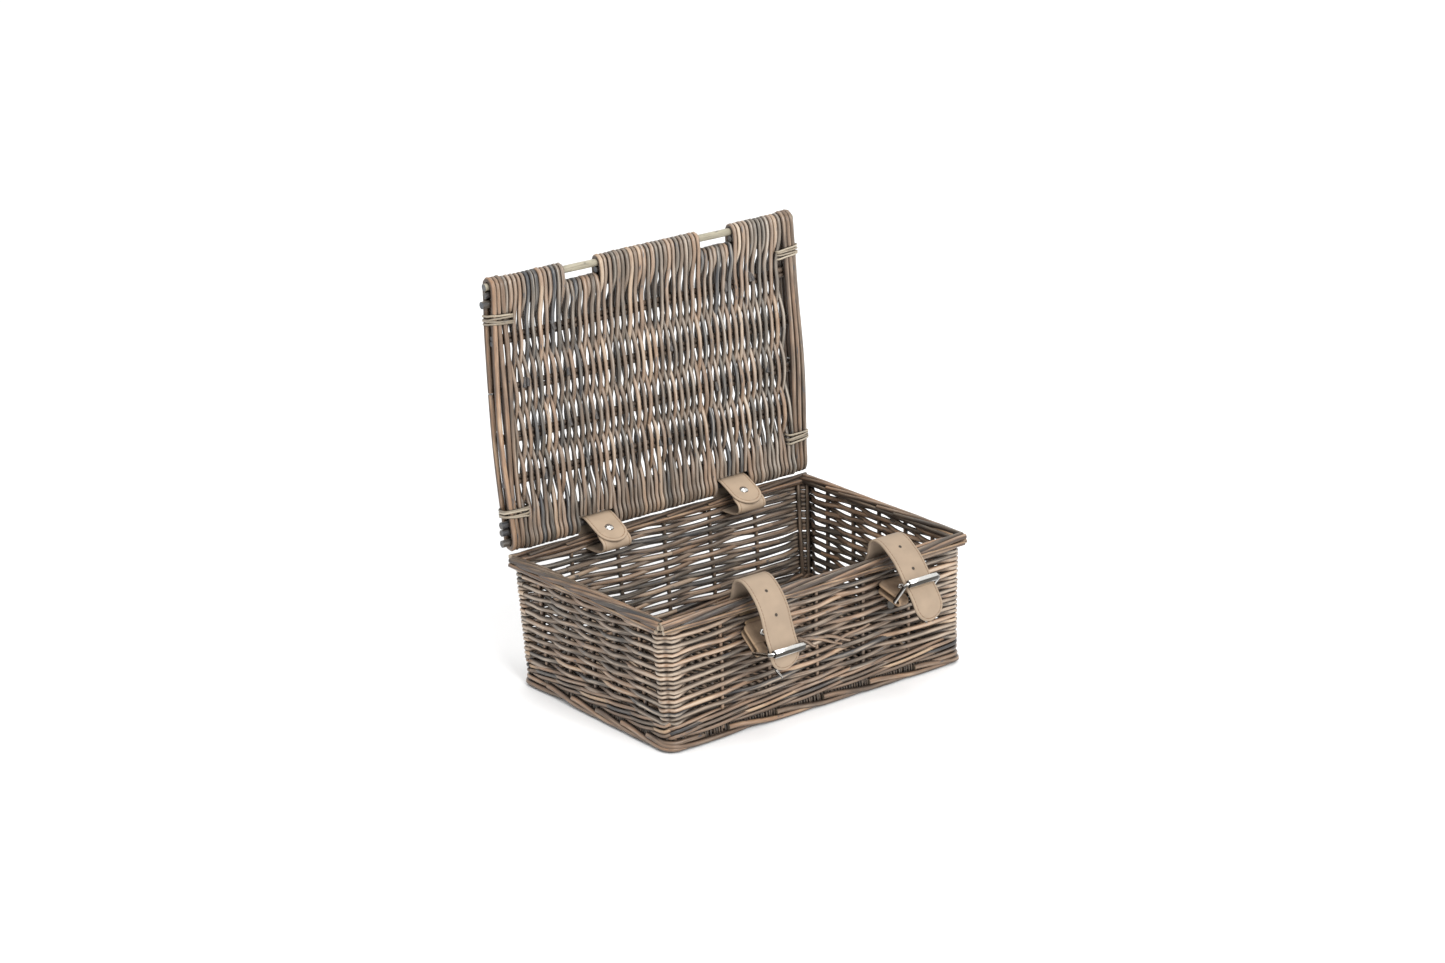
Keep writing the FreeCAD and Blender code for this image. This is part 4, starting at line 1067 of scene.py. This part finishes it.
def strip_mesh(name, line, width, thickness, middle_x, tips):
    """A strip of leather along a line (y, z), with rounded tips, and its sheet and edge coordinates."""
    line = smooth_line(line, 1.0)
    length = lengths_along(line)
    total, tip = length[-1], width / 2
    bend = 1 - np.cos(np.linspace(0.12, pi / 2, TIP_STEPS))
    low = bend * tip if tips[0] else np.array([0.0])
    high = total - bend[::-1] * tip if tips[1] else np.array([total])
    stations = np.concatenate([low, np.arange(low[-1] + 1.5, high[0] - 0.7, 1.5), high])
    y, z = np.interp(stations, length, line[:, 0]), np.interp(stations, length, line[:, 1])
    tangent = unit(np.column_stack([np.gradient(y, stations), np.gradient(z, stations)]))
    across = np.column_stack([tangent[:, 1], -tangent[:, 0]])
    points, sheet, edge = [], [], []
    for k, u in enumerate(stations):
        short = min(u if tips[0] else total, total - u if tips[1] else total)
        half = width / 2
        if short < tip:
            half = max(sqrt(max(tip ** 2 - (tip - short) ** 2, 0)), thickness * 0.55)
        for v, n in profile(half, thickness / 2):
            offset = across[k] * n
            points.append(((middle_x + v) * MM, (y[k] + offset[0]) * MM, (z[k] + offset[1]) * MM))
            sheet.append((u, v, n))
            edge.append(tip - hypot(v, tip - short) if short < tip else width / 2 - abs(v))
    m = len(profile(1.0, 0.5))
    faces = tube_faces(len(stations), m).tolist()
    faces += [tuple(range(m))[::-1], tuple(range((len(stations) - 1) * m, len(stations) * m))]
    mesh = bpy.data.meshes.new(name)
    mesh.from_pydata(points, [], faces)
    add_attribute(mesh, "sheet", sheet)
    add_attribute(mesh, "edge", edge)
    return mesh


# paths (y, z) of the straps, from inside the front wall to their tips, and of the hinge loops
STRAP_START = [(-82.2, 54), (-82.4, 60), (-81.6, 66.5), (-78.8, 74), (-77.3, 82), (-79.2, 89), (-82.9, 95.6),
               (-84.2, 100.6), (-85.2, 104), (-87.3, 107)]
STRAP_END = {
    "left": [(-91, 108.8), (-95.2, 108.8), (-100, 106.9), (-105.2, 103.2), (-110.5, 97.6), (-114.8, 90.8),
             (-117.8, 82), (-120.6, 74), (-123.7, 67), (-124.6, 60), (-123.2, 52)],
    "right": [(-91, 108.6), (-95.4, 108.4), (-100.2, 106.6), (-105.6, 103.2), (-111, 99.3), (-115.9, 94.2),
              (-120.2, 88.7), (-124.3, 83.2), (-128.9, 77.9), (-132.7, 72.2), (-134.8, 66), (-134.8, 59.8)],
}
STRAP_HOLES = {"left": [(-106, 101.7), (-116, 88)], "right": [(-103.5, 104), (-117, 92.5)]}
LOOP_PATH = [(62.8, 95.0), (69, 98.2), (75.5, 101.4), (82, 104.5), (87.6, 106.9), (92, 107.65),
             (94.9, 106.2), (96.1, 103), (96.4, 97), (96.2, 90.6), (94.6, 87.2), (91.2, 86.1),
             (84, 85.8), (76, 86), (69.6, 87.3), (65.9, 90.4), (66.3, 94.0), (70.2, 96.8),
             (75.7, 99.55), (80.5, 101.8)]


def distance_along(path, place):
    """How far along a path its nearest point to a place is."""
    line = smooth_line(path, 1.0)
    return float(lengths_along(line)[np.argmin(np.linalg.norm(line - np.array(place), axis=1))])


def build_strap(side):
    """A strap from inside the front wall over the border and down through its buckle."""
    path = STRAP_START + STRAP_END[side]
    holes = [distance_along(path, place) for place in STRAP_HOLES[side]]
    node = f"front_strap_{side}"
    mesh = strip_mesh(f"{node}_leather", path, LEATHER_WIDTH, 2.0, FRONT_X[side], (False, True))
    leather = leather_material(f"shaded_strap_leather_{side}", SHADED_STRAP_BEIGE, 1, holes)
    piece = place_mesh(mesh, leather, node=node)
    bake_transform(piece)


def build_hinge_loop(side):
    """The loop round the back border and the lid's rod, and the rivet through its tab."""
    node = f"hinge_loop_{side}"
    mesh = strip_mesh(f"{node}_leather", LOOP_PATH, LEATHER_WIDTH, 1.5, LOOP_X[side], (True, True))
    piece = place_mesh(mesh, HINGE_LEATHER, node=node)
    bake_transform(piece)
    rivet = build_rivet(f"hinge_rivet_{side}", (LOOP_X[side], 75.6, 100.5), 26.2)
    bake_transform(rivet)


# the chape's slope in degrees, its whole length, its wall end's rounding and its neck's width
CHAPE_RISE = {"left": 38.0, "right": 12.2}
CHAPE_LENGTH = {"left": 25 / cos(radians(38.0)), "right": 31.2 / cos(radians(12.2))}
CHAPE_CORNER = 5.0
CHAPE_NECK = 13.0
CHAPE_HALF = LEATHER_WIDTH / 2


def chape_strips(side, end):
    """Two faces, two folds beside the tongue, and the neck: each a path from the bar, a middle, a width."""
    layer = 2.65
    fold = [(layer * cos(a), layer * sin(a)) for a in np.linspace(pi / 2, 3 * pi / 2, 15)]
    faces = [([(4.2, height), (end / 2 + 2, height), (end, height)], 0.0, LEATHER_WIDTH)
             for height in (layer, -layer)]
    folds = [([(4.2, layer)] + fold + [(4.2, -layer)], centre, 8.0) for centre in (-8.0, 8.0)]
    return faces + folds + [([(end - 4, 0), (end + 2, 0), (CHAPE_LENGTH[side], 0)], 0.0, CHAPE_NECK)]


def build_chape(side):
    """Doubled leather round the buckle's bar, rounded at the wall, with a neck through the weave."""
    bar, rise = joint_place(f"{side}_buckle_pivot"), radians(CHAPE_RISE[side])
    c, s = cos(rise), sin(rise)
    end = (-bar[1] - 91.5) / c
    pieces = []
    for number, (path, centre, width) in enumerate(chape_strips(side, end)):
        turned = [(bar[1] + x * c - y * s, bar[2] + x * s + y * c) for x, y in path]
        mesh = strip_mesh(f"chape_{side}_part_{number}", turned, width, 1.8, bar[0] + centre, (False, False))
        points = np.array([v.co for v in mesh.vertices]) / MM
        reach = (points[:, 1] - bar[1]) * c + (points[:, 2] - bar[2]) * s
        narrow = 1.0
        if width == LEATHER_WIDTH:
            past = np.clip((reach - end + CHAPE_CORNER) / CHAPE_CORNER, 0, 1)
            narrow = 1 - CHAPE_CORNER / CHAPE_HALF * (1 - np.sqrt(1 - past ** 2))
        points[:, 0] = bar[0] + (points[:, 0] - bar[0]) * narrow
        edge = CHAPE_HALF - np.abs(points[:, 0] - bar[0]) - CHAPE_HALF * (1 - narrow)
        mesh.attributes["edge"].data.foreach_set("value", np.minimum(edge, end + 0.9 - reach))
        mesh.vertices.foreach_set("co", (points * MM).ravel())
        pieces.append(place_mesh(mesh, SUEDE))
    with bpy.context.temp_override(active_object=pieces[0], selected_editable_objects=pieces):
        bpy.ops.object.join()
    pieces[0].name = f"chape_{side}_leather"
    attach(pieces[0], "basket")
    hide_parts(f"chape_{side}")
    build_eyelet(side, bar, rise)


def build_eyelet(side, bar, rise):
    """The hollow rivet that closes the chape, with a rolled ring on each face."""
    place = (bar[0], bar[1] + 10.5 * cos(rise), bar[2] + 10.5 * sin(rise))
    direction = (0, -sin(rise), cos(rise))
    roll = [(2.15 + 0.95 * cos(a), 3.55 + 0.75 * sin(a)) for a in np.linspace(0, pi, 9)]
    under = [(radius, -height) for radius, height in roll[::-1]]
    node = f"chape_rivet_{side}"
    lathe(f"{node}_nickel", roll + under + roll[:1], place, direction, "basket", node)


# --- metal

def lathe(name, outline, place, direction, body, node, segments=32):
    """A turned metal piece: outline is (radius, height) along direction from place."""
    outline = np.array(outline, float)
    turn = np.arange(segments) * 2 * pi / segments
    frame_turn = Vector(direction).to_track_quat("Z", "Y").to_matrix()
    points = []
    for radius, height in outline:
        for a in turn:
            local = Vector((radius * cos(a), radius * sin(a), height))
            points.append((frame_turn @ local + Vector(place)) * MM)
    mesh = bpy.data.meshes.new(name)
    mesh.from_pydata(points, [], tube_faces(len(outline), segments).tolist())
    return place_mesh(mesh, NICKEL, body, node)


def build_rivet(node, place, slope):
    """A domed rivet through the loop's tab, its head on top."""
    angle = radians(slope)
    direction = (0, -sin(angle), cos(angle))
    dome = [(3.6 * cos(a), 0.8 + 2.1 * sin(a)) for a in np.linspace(0, pi / 2, 9)]
    outline = [(0, -3.1), (2.9, -3.1), (3.1, -2.6), (3.1, -2.1), (1.2, -2.1), (1.2, 0.7), (3.1, 0.7)]
    return lathe(f"{node}_nickel", outline + dome, place, direction, None, node)


# the buckle's wire, its frame's half width and corners, and its roller
WIRE_RADIUS = 1.4
FRAME_HALF, FRAME_CORNER = 14.6, 3.0
ROLLER_HALF, ROLLER_OUTER, ROLLER_INNER = 12.3, 2.9, 1.75


def build_buckle(side):
    """The bent wire frame, its bar along X, and the roller on its far side."""
    bar, axle = joint_place(f"{side}_buckle_pivot"), joint_place(f"{side}_roller_spin")
    out = unit((axle - bar)[None])[0]
    reach = np.linalg.norm(axle - bar)
    path = []
    for cx, cu, start in ((1, 0, -90), (1, 1, 0), (-1, 1, 90), (-1, 0, 180)):
        x, u = cx * (FRAME_HALF - FRAME_CORNER), reach - FRAME_CORNER if cu else FRAME_CORNER
        for a in np.radians(np.linspace(start, start + 90, 7)):
            along_bar = np.array([x + FRAME_CORNER * cos(a), 0, 0])
            path.append(bar + along_bar + out * (u + FRAME_CORNER * sin(a)))
    path.append(path[0])
    line = []
    for a, b in zip(path, path[1:]):
        steps = max(1, int(np.linalg.norm(b - a) / 3))
        line += [a + (b - a) * k / steps for k in range(steps)]
    wire = Strands(14)
    wire.rod(np.array(line + [path[-1]]), WIRE_RADIUS, normal=np.cross([1.0, 0, 0], out), ends=(False, False))
    wire.finish(f"buckle_frame_{side}", NICKEL, f"{side}_buckle", "wire")
    half, outer, inner = ROLLER_HALF, ROLLER_OUTER, ROLLER_INNER
    tube = [(inner, -half), (outer - 0.5, -half), (outer, -half + 0.5), (outer, half - 0.5),
            (outer - 0.5, half), (inner, half), (inner, -half)]
    lathe(f"buckle_roller_{side}_tube", tube, axle, (1, 0, 0), f"{side}_roller", f"buckle_roller_{side}")


def finish_cad_metal():
    """The tongues and the straps' rivets keep their CAD meshes."""
    for name, node in frame["nodes"].items():
        if "tongue" in name or "rivet" in name:
            node.data.materials.clear()
            node.data.materials.append(NICKEL)
            node.data.polygons.foreach_set("use_smooth", [True] * len(node.data.polygons))


# --- studio

def build_studio():
    """A pale floor, white all round, and three soft lamps aimed at the basket."""
    n = Nodes("studio_floor")
    n.set(Base_Color=(0.92, 0.92, 0.92), Roughness=0.9, Specular_IOR_Level=0.1)
    bpy.ops.mesh.primitive_plane_add(size=30, location=(0, 0, -0.0005))
    floor = bpy.context.object
    floor.name = "floor"
    floor.data.materials.append(n.material)
    world = bpy.data.worlds.new("studio")
    bpy.context.scene.world = world
    world.use_nodes = True
    background = world.node_tree.nodes["Background"]
    background.inputs["Color"].default_value = (1, 1, 1, 1)
    background.inputs["Strength"].default_value = 1.0
    lamps = [("key", (-0.35, -3.0, 1.9), 1.6, 103), ("side", (-2.9, 0.3, 1.2), 0.7, 2),
             ("top", (0.3, 0.3, 3.2), 1.6, 24)]
    for name, place, size, power in lamps:
        light = bpy.data.lights.new(name, "AREA")
        light.size, light.energy = size, power
        lamp = bpy.data.objects.new(name, light)
        lamp.location = place
        lamp.rotation_euler = (Vector((0, 0, 0.1)) - Vector(place)).to_track_quat("-Z", "Y").to_euler()
        bpy.context.scene.collection.objects.link(lamp)


def build_camera():
    """A long lens in front, to the left and above."""
    azimuth, elevation, roll = radians(-35.33), radians(18.51), radians(-2.76)
    distance, across, above = 2.5803, -0.00783, 0.13385
    back = Vector((sin(azimuth) * cos(elevation), -cos(azimuth) * cos(elevation),
                   sin(elevation)))
    right = (-back).cross(Vector((0, 0, 1))).normalized()
    up = right.cross(-back)
    location = right * across + up * above + back * distance
    rolled_right = right * cos(roll) + up * sin(roll)
    rolled_up = -right * sin(roll) + up * cos(roll)
    camera = bpy.data.objects.new("camera", bpy.data.cameras.new("camera"))
    camera.data.sensor_width, camera.data.lens = 36.0, 91.58
    facing = Matrix((rolled_right, rolled_up, back)).transposed().to_4x4()
    camera.matrix_world = Matrix.Translation(location) @ facing
    bpy.context.scene.collection.objects.link(camera)
    bpy.context.scene.camera = camera
    bpy.context.scene.view_settings.view_transform = "Standard"


build_walls()
for wall in WALLS:
    build_border(wall)
build_base()
build_lid_sticks()
build_lid_weave()
for side in SIDES:
    build_side_rods(side)
build_bindings()
for side in SIDES:
    build_strap(side)
    build_hinge_loop(side)
    build_chape(side)
    build_buckle(side)
finish_cad_metal()
build_studio()
build_camera()
